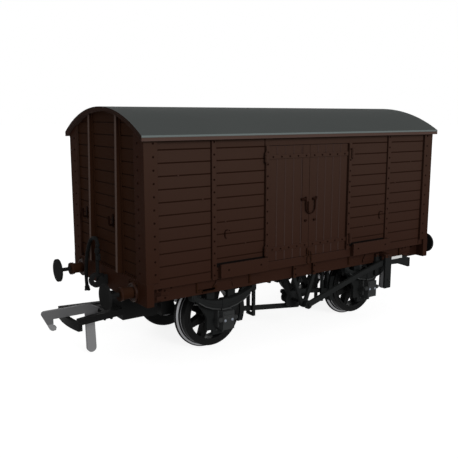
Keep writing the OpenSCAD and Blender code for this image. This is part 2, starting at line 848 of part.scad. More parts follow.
// Cross-section of tyre and rim, with the line between them; the second value
// runs outwards from the back
module tyre_profile() {
    line_r = tread_r - tyre_t;
    line_d = 0.12;
    polygon([
        [tread_r - rim_t, 0.1], [tread_r - rim_t + 0.1, 0], [flange_r - 0.25, 0], [flange_r, 0.25],
        [flange_r, flange_t - 0.4], [tread_r + 0.15, flange_t], [tread_r, flange_t + 0.15],
        [tread_r - 0.06, wheel_w - 0.1], [tread_r - 0.16, wheel_w], [line_r, wheel_w],
        [line_r, wheel_w - line_d], [line_r - 0.15, wheel_w - line_d], [line_r - 0.15, wheel_w],
        [tread_r - rim_t + 0.1, wheel_w], [tread_r - rim_t, wheel_w - 0.1]]);
}

module spoke_outline() {
    root = hub_d / 2 - 0.3;
    rim = tread_r - rim_t + 0.2;
    polygon([[root, -0.8], [rim, -0.45], [rim, 0.45], [root, 0.8]]);
}

module wheel() {
    rotate_extrude($fn = 128) tyre_profile();
    translate([0, 0, 0.2]) difference() {
        cylinder(d = hub_d, h = wheel_w - 0.2);
        translate([0, 0, -1]) cylinder(d = axle_d, h = wheel_w + 2);
    }
    for (i = [0 : spokes - 1])
        rotate((i + 0.5) * 360 / spokes) translate([0, 0, 0.6]) linear_extrude(wheel_w - 1.3) spoke_outline();
}

// Two wheels of the left axle
module wheel_pair() {
    color([0.1, 0.1, 0.1]) for (m = [0, 1]) mirror([0, m, 0])
        translate([-axle_x, -back_y, axle_z]) rotate([90, 0, 0]) wheel();
}

module axle() {
    color([0.35, 0.35, 0.36]) {
        bar_y(axle_d, -shoulder_y, shoulder_y, -axle_x, axle_z);
        bar_y(journal_d, -axle_len / 2, axle_len / 2, -axle_x, axle_z);
    }
}

// Copies of a near left piece at the other three places
module near_right() { mirror([1, 0, 0]) children(); }
module far_left() { mirror([0, 1, 0]) children(); }

floor_plate();  // floor
solebar();  // solebar_near
turned() solebar();  // solebar_far
headstock();  // headstock_left
turned() headstock();  // headstock_right
side_wall();  // side_near
turned() side_wall();  // side_far
door_leaf(-1);  // door_near_left
door_leaf(1);  // door_near_right
turned() door_leaf(1);  // door_far_left
turned() door_leaf(-1);  // door_far_right
end_wall();  // end_left
turned() end_wall();  // end_right
corner_plates();
roof_boards();
roof_canvas();
ballast_weight();
axleguard();  // axleguard_near_left
near_right() axleguard();  // axleguard_near_right
far_left() axleguard();  // axleguard_far_left
turned() axleguard();  // axleguard_far_right
axlebox();  // axlebox_near_left
near_right() axlebox();  // axlebox_near_right
far_left() axlebox();  // axlebox_far_left
turned() axlebox();  // axlebox_far_right
leaf_spring();  // spring_near_left
near_right() leaf_spring();  // spring_near_right
far_left() leaf_spring();  // spring_far_left
turned() leaf_spring();  // spring_far_right
buffer_socket(-buffer_span / 2);  // buffer_socket_near_left
buffer_socket(buffer_span / 2);  // buffer_socket_far_left
turned() buffer_socket(buffer_span / 2);  // buffer_socket_near_right
turned() buffer_socket(-buffer_span / 2);  // buffer_socket_far_right
buffer_head(-buffer_span / 2);  // buffer_head_near_left
buffer_head(buffer_span / 2);  // buffer_head_far_left
turned() buffer_head(buffer_span / 2);  // buffer_head_near_right
turned() buffer_head(-buffer_span / 2);  // buffer_head_far_right
drawhook();  // drawhook_left
turned() drawhook();  // drawhook_right
brake_pipe();  // brake_pipe_left
turned() brake_pipe();  // brake_pipe_right
coupler_pocket();  // coupler_pocket_left
turned() coupler_pocket();  // coupler_pocket_right
coupler_loop();  // coupler_loop_left
turned() coupler_loop();  // coupler_loop_right
coupling_hook();  // coupling_hook_left
turned() coupling_hook();  // coupling_hook_right
v_hangers();
brake_shafts();
brake_rigging();  // brake_rigging_near
turned() brake_rigging();  // brake_rigging_far
brake_lever();  // brake_lever_near
turned() brake_lever();  // brake_lever_far
lever_guards();
axle();  // axle_left
turned() axle();  // axle_right
wheel_pair();  // wheels_left
turned() wheel_pair();  // wheels_right
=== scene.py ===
"""Finish, small fittings, light and camera of a model railway covered goods van."""
import math

import bpy
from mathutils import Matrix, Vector


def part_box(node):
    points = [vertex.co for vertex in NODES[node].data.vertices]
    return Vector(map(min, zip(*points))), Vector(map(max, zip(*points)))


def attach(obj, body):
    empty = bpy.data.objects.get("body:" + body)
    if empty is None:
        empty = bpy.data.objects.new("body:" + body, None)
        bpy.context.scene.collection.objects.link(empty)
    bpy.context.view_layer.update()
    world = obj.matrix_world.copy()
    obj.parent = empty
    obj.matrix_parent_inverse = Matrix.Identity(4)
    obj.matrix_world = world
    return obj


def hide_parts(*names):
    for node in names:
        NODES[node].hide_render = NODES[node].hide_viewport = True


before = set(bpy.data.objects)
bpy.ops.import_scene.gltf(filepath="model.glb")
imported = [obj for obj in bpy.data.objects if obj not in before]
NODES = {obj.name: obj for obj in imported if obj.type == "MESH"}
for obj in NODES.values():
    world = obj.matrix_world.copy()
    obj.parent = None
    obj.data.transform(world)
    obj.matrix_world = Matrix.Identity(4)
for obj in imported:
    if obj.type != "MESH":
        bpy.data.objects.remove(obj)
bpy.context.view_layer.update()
MM = 0.001
EDGE_RADIUS = 0.08 * MM
GRAIN_DEPTH = 0.01 * MM


# ---- Colours and shared shader groups ----

def paint(red, green, blue):
    """Linear colour of a paint given by its 0-255 display values."""
    def linear(value):
        value = value / 255
        return value / 12.92 if value <= 0.04045 else ((value + 0.055) / 1.055) ** 2.4
    return (linear(red), linear(green), linear(blue), 1.0)


def new_group(name, inputs, outputs):
    """Empty shader group with float inputs {name: value} and outputs {name: type}."""
    group = bpy.data.node_groups.new(name, "ShaderNodeTree")
    for label, value in inputs.items():
        socket = group.interface.new_socket(label, in_out="INPUT", socket_type="NodeSocketFloat")
        socket.default_value = value
    for label, kind in outputs.items():
        group.interface.new_socket(label, in_out="OUTPUT", socket_type=kind)
    return group, group.nodes.new("NodeGroupInput"), group.nodes.new("NodeGroupOutput")


def math_node(tree, operation, first, second, clamp=False):
    """Math node whose two operands are sockets or numbers."""
    node = tree.nodes.new("ShaderNodeMath")
    node.operation = operation
    node.use_clamp = clamp
    for socket, operand in zip(node.inputs, (first, second)):
        if isinstance(operand, (int, float)):
            socket.default_value = operand
        else:
            tree.links.new(operand, socket)
    return node.outputs[0]


def moulding_grain():
    """Soft clouding of a moulded or painted skin, and the fine grain of its surface."""
    group, given, put = new_group(
        "moulding_grain",
        {"Cloud Scale": 90.0, "Grain Scale": 2500.0},
        {"Cloud": "NodeSocketFloat", "Grain": "NodeSocketFloat"})
    place = group.nodes.new("ShaderNodeTexCoord")
    cloud = group.nodes.new("ShaderNodeTexNoise")
    cloud.inputs["Detail"].default_value = 4
    grain = group.nodes.new("ShaderNodeTexNoise")
    grain.inputs["Detail"].default_value = 2
    for noise, label in ((cloud, "Cloud Scale"), (grain, "Grain Scale")):
        group.links.new(place.outputs["Object"], noise.inputs["Vector"])
        group.links.new(given.outputs[label], noise.inputs["Scale"])
    group.links.new(cloud.outputs["Fac"], put.inputs["Cloud"])
    group.links.new(grain.outputs["Fac"], put.inputs["Grain"])
    return group


def rubbed_edges():
    """Mask that is 1 along sharp edges, broken up by noise, and the softened normal there."""
    group, given, put = new_group(
        "rubbed_edges",
        {"Radius": EDGE_RADIUS, "Reach": 6.0},
        {"Edge": "NodeSocketFloat", "Soft Normal": "NodeSocketVector"})
    bevel = group.nodes.new("ShaderNodeBevel")
    bevel.samples = 4
    group.links.new(given.outputs["Radius"], bevel.inputs["Radius"])
    surface = group.nodes.new("ShaderNodeNewGeometry")
    turn = group.nodes.new("ShaderNodeVectorMath")
    turn.operation = "DOT_PRODUCT"
    group.links.new(bevel.outputs["Normal"], turn.inputs[0])
    group.links.new(surface.outputs["Normal"], turn.inputs[1])
    bend = math_node(group, "SUBTRACT", 1.0, turn.outputs["Value"])
    place = group.nodes.new("ShaderNodeTexCoord")
    patches = group.nodes.new("ShaderNodeTexNoise")
    patches.inputs["Scale"].default_value = 700
    group.links.new(place.outputs["Object"], patches.inputs["Vector"])
    sharp = math_node(group, "MULTIPLY", bend, given.outputs["Reach"])
    broken = math_node(group, "MULTIPLY", sharp, patches.outputs["Fac"], clamp=True)
    group.links.new(broken, put.inputs["Edge"])
    group.links.new(bevel.outputs["Normal"], put.inputs["Soft Normal"])
    return group


def settled_dust():
    """Mask of the dust that lies on faces turned upwards."""
    group, given, put = new_group(
        "settled_dust", {"Amount": 0.3}, {"Dust": "NodeSocketFloat"})
    place = group.nodes.new("ShaderNodeTexCoord")
    split = group.nodes.new("ShaderNodeSeparateXYZ")
    group.links.new(place.outputs["Normal"], split.inputs[0])
    specks = group.nodes.new("ShaderNodeTexNoise")
    specks.inputs["Scale"].default_value = 420
    specks.inputs["Detail"].default_value = 5
    group.links.new(place.outputs["Object"], specks.inputs["Vector"])
    upward = math_node(group, "MULTIPLY", split.outputs["Z"], given.outputs["Amount"], clamp=True)
    dusty = math_node(group, "MULTIPLY", upward, specks.outputs["Fac"], clamp=True)
    group.links.new(dusty, put.inputs["Dust"])
    return group


GRAIN = moulding_grain()
EDGES = rubbed_edges()
DUST = settled_dust()


def place_group(tree, group, **values):
    """Group node in a material, with its own input values."""
    node = tree.nodes.new("ShaderNodeGroup")
    node.node_tree = group
    for label, value in values.items():
        node.inputs[label.replace("_", " ")].default_value = value
    return node


def mix_colour(tree, factor, first, second):
    """Colour mixed from first to second by a mask; each is a socket or a plain colour."""
    node = tree.nodes.new("ShaderNodeMix")
    node.data_type = "RGBA"
    tree.links.new(factor, node.inputs["Factor"])
    for socket, value in ((node.inputs[6], first), (node.inputs[7], second)):
        if isinstance(value, tuple):
            socket.default_value = value
        else:
            tree.links.new(value, socket)
    return node.outputs[2]


def spread(tree, socket, low, high):
    """A 0-1 value spread over another range."""
    node = tree.nodes.new("ShaderNodeMapRange")
    tree.links.new(socket, node.inputs["Value"])
    node.inputs["To Min"].default_value = low
    node.inputs["To Max"].default_value = high
    return node.outputs["Result"]


def finish_material(name, colour, deep, rubbed, dust, rough, metal=0.0, gloss=0.08,
                    dust_amount=0.1, cloud_scale=90.0, adjust=None, metal_mask=None):
    """Painted, moulded or metal finish; adjust may recolour it by place on the piece."""
    material = bpy.data.materials.new(name)
    material.use_nodes = True
    tree = material.node_tree
    shader = tree.nodes["Principled BSDF"]
    grain = place_group(tree, GRAIN, Cloud_Scale=cloud_scale)
    edges = place_group(tree, EDGES, Radius=EDGE_RADIUS)
    film = place_group(tree, DUST, Amount=dust_amount)
    base = mix_colour(tree, grain.outputs["Cloud"], deep, colour)
    if adjust:
        base = adjust(tree, base)
    worn = mix_colour(tree, edges.outputs["Edge"], base, rubbed)
    dusted = mix_colour(tree, film.outputs["Dust"], worn, dust)
    tree.links.new(dusted, shader.inputs["Base Color"])
    roughness = spread(tree, grain.outputs["Cloud"], *rough)
    tree.links.new(roughness, shader.inputs["Roughness"])
    shader.inputs["Metallic"].default_value = metal
    shader.inputs["Specular IOR Level"].default_value = gloss
    if metal_mask:
        tree.links.new(metal_mask(tree), shader.inputs["Metallic"])
    bump = tree.nodes.new("ShaderNodeBump")
    bump.inputs["Strength"].default_value = 0.6
    bump.inputs["Distance"].default_value = GRAIN_DEPTH
    tree.links.new(grain.outputs["Grain"], bump.inputs["Height"])
    tree.links.new(edges.outputs["Soft Normal"], bump.inputs["Normal"])
    tree.links.new(bump.outputs["Normal"], shader.inputs["Normal"])
    return material


# ---- Where a finish changes on the van, in millimetres from its middle or above the rails ----

AXLE_X = 19.0
AXLE_Z = 7.05
EAVE_EDGE_Y = 16.62
ROOF_END_X = 36.6
SIDE_JOINT_Y = 15.585
END_JOINT_X = 35.585
STANCHION_FRONT_X = 35.78
END_FACE_X = 35.97
KNEE_PLATE_X = 32.3
# Heights between which the body paint is drawn lighter upwards: painted light.
LIGHTEN_FROM_Z, LIGHTEN_TO_Z = 15, 40
SLOT_Z = (17.6, 18.38)
SLOT_X = (10.97, 21.8)
SLOT_Y = 15.95
FLANGE_RADIUS, FLANGE_FRONT_Y = 6.5, 7.9
TREAD_RADIUS, TREAD_RING_Y = 6.15, (8.42, 8.7)
HOOK_PIVOT_X, HOOK_PIVOT_Z = -37.3, 8.3
TAIL_TOP_Z = 7.6
HANGER_PAINT_Z = 12.7
GUARD_PAINT_Z = 14.1


# ---- Finishes that change by place on the piece ----

def place_axes(tree):
    """The three coordinates of a point of the piece, in metres."""
    place = tree.nodes.new("ShaderNodeTexCoord")
    split = tree.nodes.new("ShaderNodeSeparateXYZ")
    tree.links.new(place.outputs["Object"], split.inputs[0])
    return split.outputs["X"], split.outputs["Y"], split.outputs["Z"]


def over(tree, value, limit):
    """Mask that is 1 where a value is over a limit given in millimetres."""
    return math_node(tree, "GREATER_THAN", value, limit * MM)


def beyond(tree, axis, limit):
    """Mask that is 1 farther than a limit from the middle plane of the van."""
    distance = math_node(tree, "ABSOLUTE", place_axes(tree)["XYZ".index(axis)], 0.0)
    return over(tree, distance, limit)


def both_masks(tree, first, second):
    """Mask that is 1 only where two masks are."""
    return math_node(tree, "MULTIPLY", first, second)


def short_of(tree, axis, limit):
    """Mask that is 1 nearer than a limit to the middle plane of the van."""
    return math_node(tree, "SUBTRACT", 1.0, beyond(tree, axis, limit))


def canvas_eave_highlight_and_end_shade(tree, base):
    """Painted highlight along both eaves of the roof canvas, and the painted shade of the end
    boards over its ends.
    """
    eaves = mix_colour(tree, beyond(tree, "Y", EAVE_EDGE_Y), base, CANVAS_EAVE_HIGHLIGHT)
    return mix_colour(tree, beyond(tree, "X", ROOF_END_X), eaves, ROOF_END_SHADE)


def lighter_upwards(tree, base):
    """Body paint drawn lighter towards the eaves: painted light, as if lit more from above."""
    lighten = tree.nodes.new("ShaderNodeMapRange")
    tree.links.new(place_axes(tree)[2], lighten.inputs["Value"])
    lighten.inputs["From Min"].default_value = LIGHTEN_FROM_Z * MM
    lighten.inputs["From Max"].default_value = LIGHTEN_TO_Z * MM
    return mix_colour(tree, lighten.outputs["Result"], base, UPPER_LIT_BROWN)


def side_joints_and_slot_shade(tree, base):
    """Dirt in the plank joints of a side, and painted shade in the slots behind its bumper boards.
    """
    lightened = lighter_upwards(tree, base)
    jointed = mix_colour(tree, short_of(tree, "Y", SIDE_JOINT_Y), lightened, JOINT_BROWN)
    height = place_axes(tree)[2]
    below = math_node(tree, "LESS_THAN", height, SLOT_Z[1] * MM)
    slot = both_masks(tree, over(tree, height, SLOT_Z[0]), below)
    across = both_masks(tree, beyond(tree, "X", SLOT_X[0]), short_of(tree, "X", SLOT_X[1]))
    behind = both_masks(tree, both_masks(tree, slot, across), short_of(tree, "Y", SLOT_Y))
    return mix_colour(tree, behind, jointed, SLOT_SHADE)


def end_joints_and_web_highlight(tree, base):
    """Dirt in the plank joints of an end, and a painted highlight on the front faces of its
    stanchions' webs.
    """
    jointed = mix_colour(tree, short_of(tree, "X", END_JOINT_X), base, END_JOINT_BROWN)
    place = tree.nodes.new("ShaderNodeTexCoord")
    split = tree.nodes.new("ShaderNodeSeparateXYZ")
    tree.links.new(place.outputs["Normal"], split.inputs[0])
    facing = math_node(tree, "ABSOLUTE", split.outputs["X"], 0.0)
    endwise = math_node(tree, "GREATER_THAN", facing, 0.8)
    front = both_masks(tree, beyond(tree, "X", STANCHION_FRONT_X), endwise)
    return mix_colour(tree, front, jointed, WEB_HIGHLIGHT_BROWN)


def solebar_end_shadow(tree, base):
    """Painted shadow of the headstocks on the solebars, outwards from the knee plates."""
    lightened = lighter_upwards(tree, base)
    return mix_colour(tree, beyond(tree, "X", KNEE_PLATE_X), lightened, HEADSTOCK_SHADOW_BROWN)


def end_face_shade(tree, base):
    """Painted shade on the faces that lie in the plane of the ends, darker than the same paint on
    the sides.
    """
    lightened = lighter_upwards(tree, base)
    return mix_colour(tree, beyond(tree, "X", END_FACE_X), lightened, END_FACE_SHADE_BROWN)


def roof_end_shade(tree, base):
    """Painted shade: the arched end edges of the roof boards written darker than their eaves."""
    return mix_colour(tree, beyond(tree, "X", ROOF_END_X), base, ROOF_END_SHADE)


def painted_above(height, colour):
    """Body paint carried down over a black fitting as far as a height."""
    def adjust(tree, base):
        return mix_colour(tree, over(tree, place_axes(tree)[2], height), base, colour)
    return adjust


def wheel_radius(tree):
    """Distance of a point from the axis of its own wheelset, in metres."""
    x, _, z = place_axes(tree)
    along = math_node(tree, "SUBTRACT", math_node(tree, "ABSOLUTE", x, 0.0), AXLE_X * MM)
    up = math_node(tree, "SUBTRACT", z, AXLE_Z * MM)
    square = math_node(tree, "ADD", math_node(tree, "MULTIPLY", along, along),
                       math_node(tree, "MULTIPLY", up, up))
    return math_node(tree, "SQRT", square, 0.0)


def highlight_ring_mask(tree):
    """Mask of a wheel's painted highlight rings, set as bright metal: the front of its flange and
    a band on its tread.
    """
    radius = wheel_radius(tree)
    flange = both_masks(tree, over(tree, radius, FLANGE_RADIUS), beyond(tree, "Y", FLANGE_FRONT_Y))
    inner, outer = TREAD_RING_Y
    ring = both_masks(tree, beyond(tree, "Y", inner), short_of(tree, "Y", outer))
    tread = both_masks(tree, over(tree, radius, TREAD_RADIUS), ring)
    return math_node(tree, "ADD", flange, tread, clamp=True)


def highlight_rings(tree, base):
    """Bright steel over the wheel's black on its highlight rings: painted highlight, set as metal.
    """
    return mix_colour(tree, highlight_ring_mask(tree), base, RING_HIGHLIGHT_STEEL)


def lit_and_shaded_tails(tree, base):
    """Hooks' tails below the pivot painted grey: painted highlight on the left tail, painted shade
    on the right one.
    """
    x, _, z = place_axes(tree)
    tail = mix_colour(tree, over(tree, x, 0.0), LIT_TAIL_GREY, SHADED_TAIL_GREY)
    return mix_colour(tree, over(tree, z, TAIL_TOP_Z), tail, base)


BODY_PAINT = paint(46, 27, 19)
# Lighter brown towards the eaves: painted light.
UPPER_LIT_BROWN = paint(56, 40, 33)
JOINT_BROWN = paint(24, 11, 6)
END_JOINT_BROWN = paint(33, 18, 12)
# Near black in the slots behind the bumper boards: painted shade.
SLOT_SHADE = paint(9, 6, 5)
# Pale brown on the front faces of the stanchion webs: painted highlight.
WEB_HIGHLIGHT_BROWN = paint(92, 76, 70)
# Darker brown on the solebar ends: painted shadow of the headstocks.
HEADSTOCK_SHADOW_BROWN = paint(30, 14, 8)
# Darker brown on faces in the plane of the ends: painted shade.
END_FACE_SHADE_BROWN = paint(41, 21, 12)
# Dark brown on the roof's end edges: painted shade.
ROOF_END_SHADE = paint(34, 18, 11)
# Pale grey along the canvas eaves: painted highlight.
CANVAS_EAVE_HIGHLIGHT = paint(104, 112, 111)
# Bright steel rings on the wheels: painted highlight.
RING_HIGHLIGHT_STEEL = paint(132, 132, 134)
# Light and dark grey of the hooks' tails: painted highlight and painted shade.
LIT_TAIL_GREY = paint(124, 124, 125)
SHADED_TAIL_GREY = paint(58, 58, 59)
DUST_BROWN = paint(70, 58, 52)
DUST_GREY = paint(50, 49, 47)
DUST_STEEL = paint(90, 86, 80)
DUST_PALE = paint(110, 109, 106)
MATT = (0.62, 0.78)
SATIN = (0.5, 0.65)

# Each coat is its colour, deeper colour, rubbed colour, dust and range of roughness.
BODY_COAT = (BODY_PAINT, paint(42, 23, 16), paint(60, 42, 36), DUST_BROWN, MATT)
END_COAT = (paint(46, 27, 17), paint(41, 23, 14), paint(54, 36, 28), DUST_BROWN, MATT)
FRAME_COAT = (paint(33, 34, 34), paint(27, 28, 28), paint(44, 45, 45), DUST_GREY, (0.55, 0.7))

# Body paint drawn lighter upwards (painted light); side, solebar, corner and end finishes add
# painted shade and highlight by place.
BODY_BROWN = finish_material("body_brown", *BODY_COAT, gloss=0.04, adjust=lighter_upwards)
SIDE_BROWN = finish_material("side_brown", *BODY_COAT, gloss=0.04, adjust=side_joints_and_slot_shade)
SOLE_BROWN = finish_material("sole_brown", *BODY_COAT, gloss=0.04, adjust=solebar_end_shadow)
CORNER_BROWN = finish_material("corner_brown", *BODY_COAT, gloss=0.02, adjust=end_face_shade)
END_BROWN = finish_material("end_brown", *END_COAT, gloss=0.01, adjust=end_joints_and_web_highlight)
BRACKET_BROWN = finish_material("bracket_brown", *END_COAT, gloss=0.01)
JOINT_FILLER = finish_material(
    "joint_filler", paint(33, 17, 10), paint(28, 14, 8), paint(40, 23, 16), DUST_BROWN, MATT,
    gloss=0.02)
LATCH_BROWN = finish_material(
    "latch_brown", paint(32, 16, 10), paint(26, 12, 7), paint(46, 28, 20), DUST_BROWN, MATT,
    gloss=0.02)
BOLT_BROWN = finish_material(
    "bolt_brown", paint(27, 13, 8), paint(22, 10, 6), paint(40, 24, 17), DUST_BROWN, MATT,
    gloss=0.01)
BEAD_BROWN = finish_material(
    "bead_brown", paint(60, 45, 41), paint(54, 39, 34), paint(70, 55, 50), DUST_BROWN, MATT,
    gloss=0.03)
# Eave brown, with its arched end edges darker: painted shade.
EAVE_BROWN = finish_material(
    "eave_brown", paint(81, 64, 58), paint(73, 57, 51), paint(90, 76, 71), DUST_BROWN, MATT,
    gloss=0.02, adjust=roof_end_shade)
# Roof grey, with a paler line along the eaves (painted highlight) and dark end edges (painted
# shade).
ROOF_GREY = finish_material(
    "roof_grey", paint(72, 75, 74), paint(66, 69, 68), paint(92, 98, 96), paint(84, 86, 84),
    (0.7, 0.85), gloss=0.01, cloud_scale=45.0, dust_amount=0.04, adjust=canvas_eave_highlight_and_end_shade)
UNDERFRAME_BLACK = finish_material("underframe_black", *FRAME_COAT, gloss=0.02)
HANGER_BLACK = finish_material(
    "hanger_black", *FRAME_COAT, gloss=0.02, adjust=painted_above(HANGER_PAINT_Z, BODY_PAINT))
GUARD_BLACK = finish_material(
    "guard_black", *FRAME_COAT, gloss=0.02, adjust=painted_above(GUARD_PAINT_Z, BODY_PAINT))
FITTING_BLACK = finish_material(
    "fitting_black", paint(30, 30, 30), paint(25, 25, 25), paint(44, 44, 44), DUST_GREY, SATIN,
    gloss=0.005)
RING_BROWN = finish_material(
    "ring_brown", paint(40, 21, 13), paint(35, 18, 11), paint(56, 36, 28), DUST_BROWN,
    (0.45, 0.55), gloss=0.06)
BOX_BLACK = finish_material(
    "box_black", paint(54, 55, 55), paint(46, 47, 47), paint(70, 71, 71), DUST_GREY, SATIN,
    gloss=0.02)
COUPLER_BLACK = finish_material(
    "coupler_black", paint(27, 27, 27), paint(22, 22, 22), paint(44, 44, 44), DUST_GREY,
    (0.45, 0.6), gloss=0.02)
# Wheel black with bright steel rings: painted highlight.
WHEEL_BLACK = finish_material(
    "wheel_black", paint(20, 20, 20), paint(16, 16, 16), paint(40, 40, 40), DUST_GREY,
    (0.4, 0.55), gloss=0.04, adjust=highlight_rings, metal_mask=highlight_ring_mask)
AXLE_STEEL = finish_material(
    "axle_steel", paint(140, 140, 142), paint(110, 110, 112), paint(180, 180, 180), DUST_STEEL,
    (0.3, 0.45), metal=1.0)
# Hook metal with grey tails: painted highlight on the left, painted shade on the right.
HOOK_METAL = finish_material(
    "hook_metal", paint(98, 98, 99), paint(84, 84, 85), paint(130, 130, 130), DUST_PALE,
    (0.45, 0.6), metal=0.3, adjust=lit_and_shaded_tails)
# Light bluish grey of the axlebox cover bolts: painted highlight.
BOLT_GLINT_GREY = finish_material(
    "bolt_glint_grey", paint(132, 137, 146), paint(112, 117, 126), paint(170, 172, 176), DUST_PALE,
    (0.4, 0.55), metal=0.2)
WORN_GREY = finish_material(
    "worn_grey", paint(56, 57, 57), paint(46, 47, 47), paint(80, 81, 81), DUST_GREY, SATIN)
LEVER_WHITE = finish_material(
    "lever_white", paint(226, 226, 224), paint(206, 206, 203), paint(238, 238, 236),
    paint(190, 187, 180), (0.6, 0.75))
BALLAST_STEEL = finish_material(
    "ballast_steel", paint(120, 120, 122), paint(95, 95, 97), paint(160, 160, 160), DUST_STEEL,
    (0.4, 0.6), metal=1.0)

FINISH_OF = {
    "floor": BODY_BROWN, "side": SIDE_BROWN, "door": SIDE_BROWN, "end": END_BROWN,
    "corner": CORNER_BROWN, "roof_boards": EAVE_BROWN, "roof_canvas": ROOF_GREY,
    "headstock": CORNER_BROWN, "solebar": SOLE_BROWN, "buffer_socket": BRACKET_BROWN,
    "ballast": BALLAST_STEEL, "buffer_head": FITTING_BLACK, "drawhook": FITTING_BLACK,
    "brake_pipe": FITTING_BLACK, "coupler": COUPLER_BLACK, "coupling_hook": HOOK_METAL,
    "axlebox": BOX_BLACK, "axle_": AXLE_STEEL, "wheels": WHEEL_BLACK, "v_hangers": HANGER_BLACK,
    "lever_guards": GUARD_BLACK}


def finish_for(node_name):
    """The finish whose key starts the node's name; the underframe's black is the rest."""
    for start, material in FINISH_OF.items():
        if node_name.startswith(start):
            return material
    return UNDERFRAME_BLACK


for name, piece in NODES.items():
    piece.data.materials.clear()
    piece.data.materials.append(finish_for(name))


# ---- Modelling tools ----

DEGREES_A_STEP = 22
SMOOTH_DEGREES = 35


def mm(*values):
    """Millimetres as a vector in metres."""
    return Vector(values) * MM


def fresh(kind, **values):
    """New primitive with nothing else selected, its place put into its mesh."""
    bpy.ops.object.select_all(action="DESELECT")
    getattr(bpy.ops.mesh, "primitive_" + kind + "_add")(**values)
    bpy.ops.object.transform_apply(location=True, rotation=True, scale=True)
    return bpy.context.object


def take(piece):
    """Make one piece the only one selected."""
    bpy.ops.object.select_all(action="DESELECT")
    piece.select_set(True)
    bpy.context.view_layer.objects.active = piece
    return piece


def close_up():
    """Merge what coincides, turn every face outwards and leave edit mode."""
    bpy.ops.mesh.select_all(action="SELECT")
    bpy.ops.mesh.remove_doubles(threshold=0.002 * MM)
    bpy.ops.mesh.normals_make_consistent(inside=False)
    bpy.ops.object.mode_set(mode="OBJECT")


def block(low, high, soften=0.05, segments=2):
    """Block between two corners with softened edges."""
    middle = [(a + b) / 2 * MM for a, b in zip(low, high)]
    sides = [abs(b - a) * MM for a, b in zip(low, high)]
    piece = fresh("cube", size=1, location=middle, scale=sides)
    bpy.ops.object.mode_set(mode="EDIT")
    bpy.ops.mesh.select_all(action="SELECT")
    bpy.ops.mesh.bevel(offset=soften * MM, segments=segments, affect="EDGES")
    close_up()
    return piece


def stretch_part(piece, test, factors, about):
    """Scale the corners that pass a test about a point."""
    take(piece)
    bpy.context.tool_settings.mesh_select_mode = (True, False, False)
    for corner in piece.data.vertices:
        corner.select = test(corner.co / MM)
    for side in (*piece.data.edges, *piece.data.polygons):
        side.select = False
    bpy.ops.object.mode_set(mode="EDIT")
    bpy.ops.transform.resize(value=factors, center_override=mm(*about))
    bpy.ops.object.mode_set(mode="OBJECT")
    return piece


def turned_part(place, heading, profile, sides=10):
    """Turned piece: a disc drawn out along its axis, with a radius at each distance."""
    way = Vector(heading)
    lean = Vector((0, 0, 1)).rotation_difference(way).to_euler()
    reach, radius = profile[0]
    centre = mm(*place) + way * reach * MM
    piece = fresh("circle", vertices=sides, radius=radius * MM, fill_type="NGON",
                  location=centre, rotation=lean)
    bpy.ops.object.mode_set(mode="EDIT")
    bpy.ops.mesh.select_all(action="SELECT")
    for next_reach, next_radius in profile[1:]:
        advance = way * (next_reach - reach) * MM
        bpy.ops.mesh.extrude_region_move(TRANSFORM_OT_translate={"value": advance})
        centre += advance
        grow = next_radius / radius
        bpy.ops.transform.resize(value=(grow, grow, grow), center_override=centre)
        reach, radius = next_reach, next_radius
    close_up()
    return piece


def rod(place, heading, radius, moves, sides=8):
    """Round bar: each move is a straight run (x, y, z) or a bend (degrees, centre, axis)."""
    lean = Vector((0, 0, 1)).rotation_difference(Vector(heading)).to_euler()
    piece = fresh("circle", vertices=sides, radius=radius * MM, fill_type="NGON",
                  location=mm(*place), rotation=lean)
    bpy.ops.object.mode_set(mode="EDIT")
    bpy.ops.mesh.select_all(action="SELECT")
    for move in moves:
        if isinstance(move[1], (int, float)):
            bpy.ops.mesh.extrude_region_move(TRANSFORM_OT_translate={"value": mm(*move)})
        else:
            degrees, centre, axis = move
            steps = max(3, int(abs(degrees) / DEGREES_A_STEP))
            bpy.ops.mesh.spin(
                steps=steps, angle=-math.radians(degrees), center=mm(*centre), axis=axis)
    close_up()
    return piece


def joined(pieces):
    """Several shapes made one piece."""
    bpy.ops.object.select_all(action="DESELECT")
    for piece in pieces:
        piece.select_set(True)
    bpy.context.view_layer.objects.active = pieces[0]
    bpy.ops.object.join()
    return bpy.context.object


def copies(master, places):
    """Copies of one small shape, moved by the given steps and joined."""
    made = []
    for place in places:
        twin = master.copy()
        twin.data = master.data.copy()
        twin.location = mm(*place)
        bpy.context.scene.collection.objects.link(twin)
        made.append(twin)
    piece = joined(made)
    bpy.ops.object.transform_apply(location=True, rotation=True, scale=True)
    bpy.data.objects.remove(master)
    return piece


def fit(piece, name, material):
    """Name a finished piece, give it its finish and let it ride with the van."""
    take(piece)
    piece.name = name
    piece.data.name = name
    piece.data.materials.clear()
    piece.data.materials.append(material)
    bpy.ops.object.shade_smooth_by_angle(angle=math.radians(SMOOTH_DEGREES))
    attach(piece, "van")
    return piece


def fit_pair(piece, name, ends, material):
    """Finish a piece and its copy half a turn round the van."""
    twin = piece.copy()
    twin.data = piece.data.copy()
    bpy.context.scene.collection.objects.link(twin)
    take(twin)
    twin.rotation_euler = (0, 0, math.pi)
    bpy.ops.object.transform_apply(location=True, rotation=True, scale=True)
    for part, end in zip((piece, twin), ends):
        fit(part, name + "_" + end, material)


# ---- Faces of the body that the fittings stand on, in millimetres ----

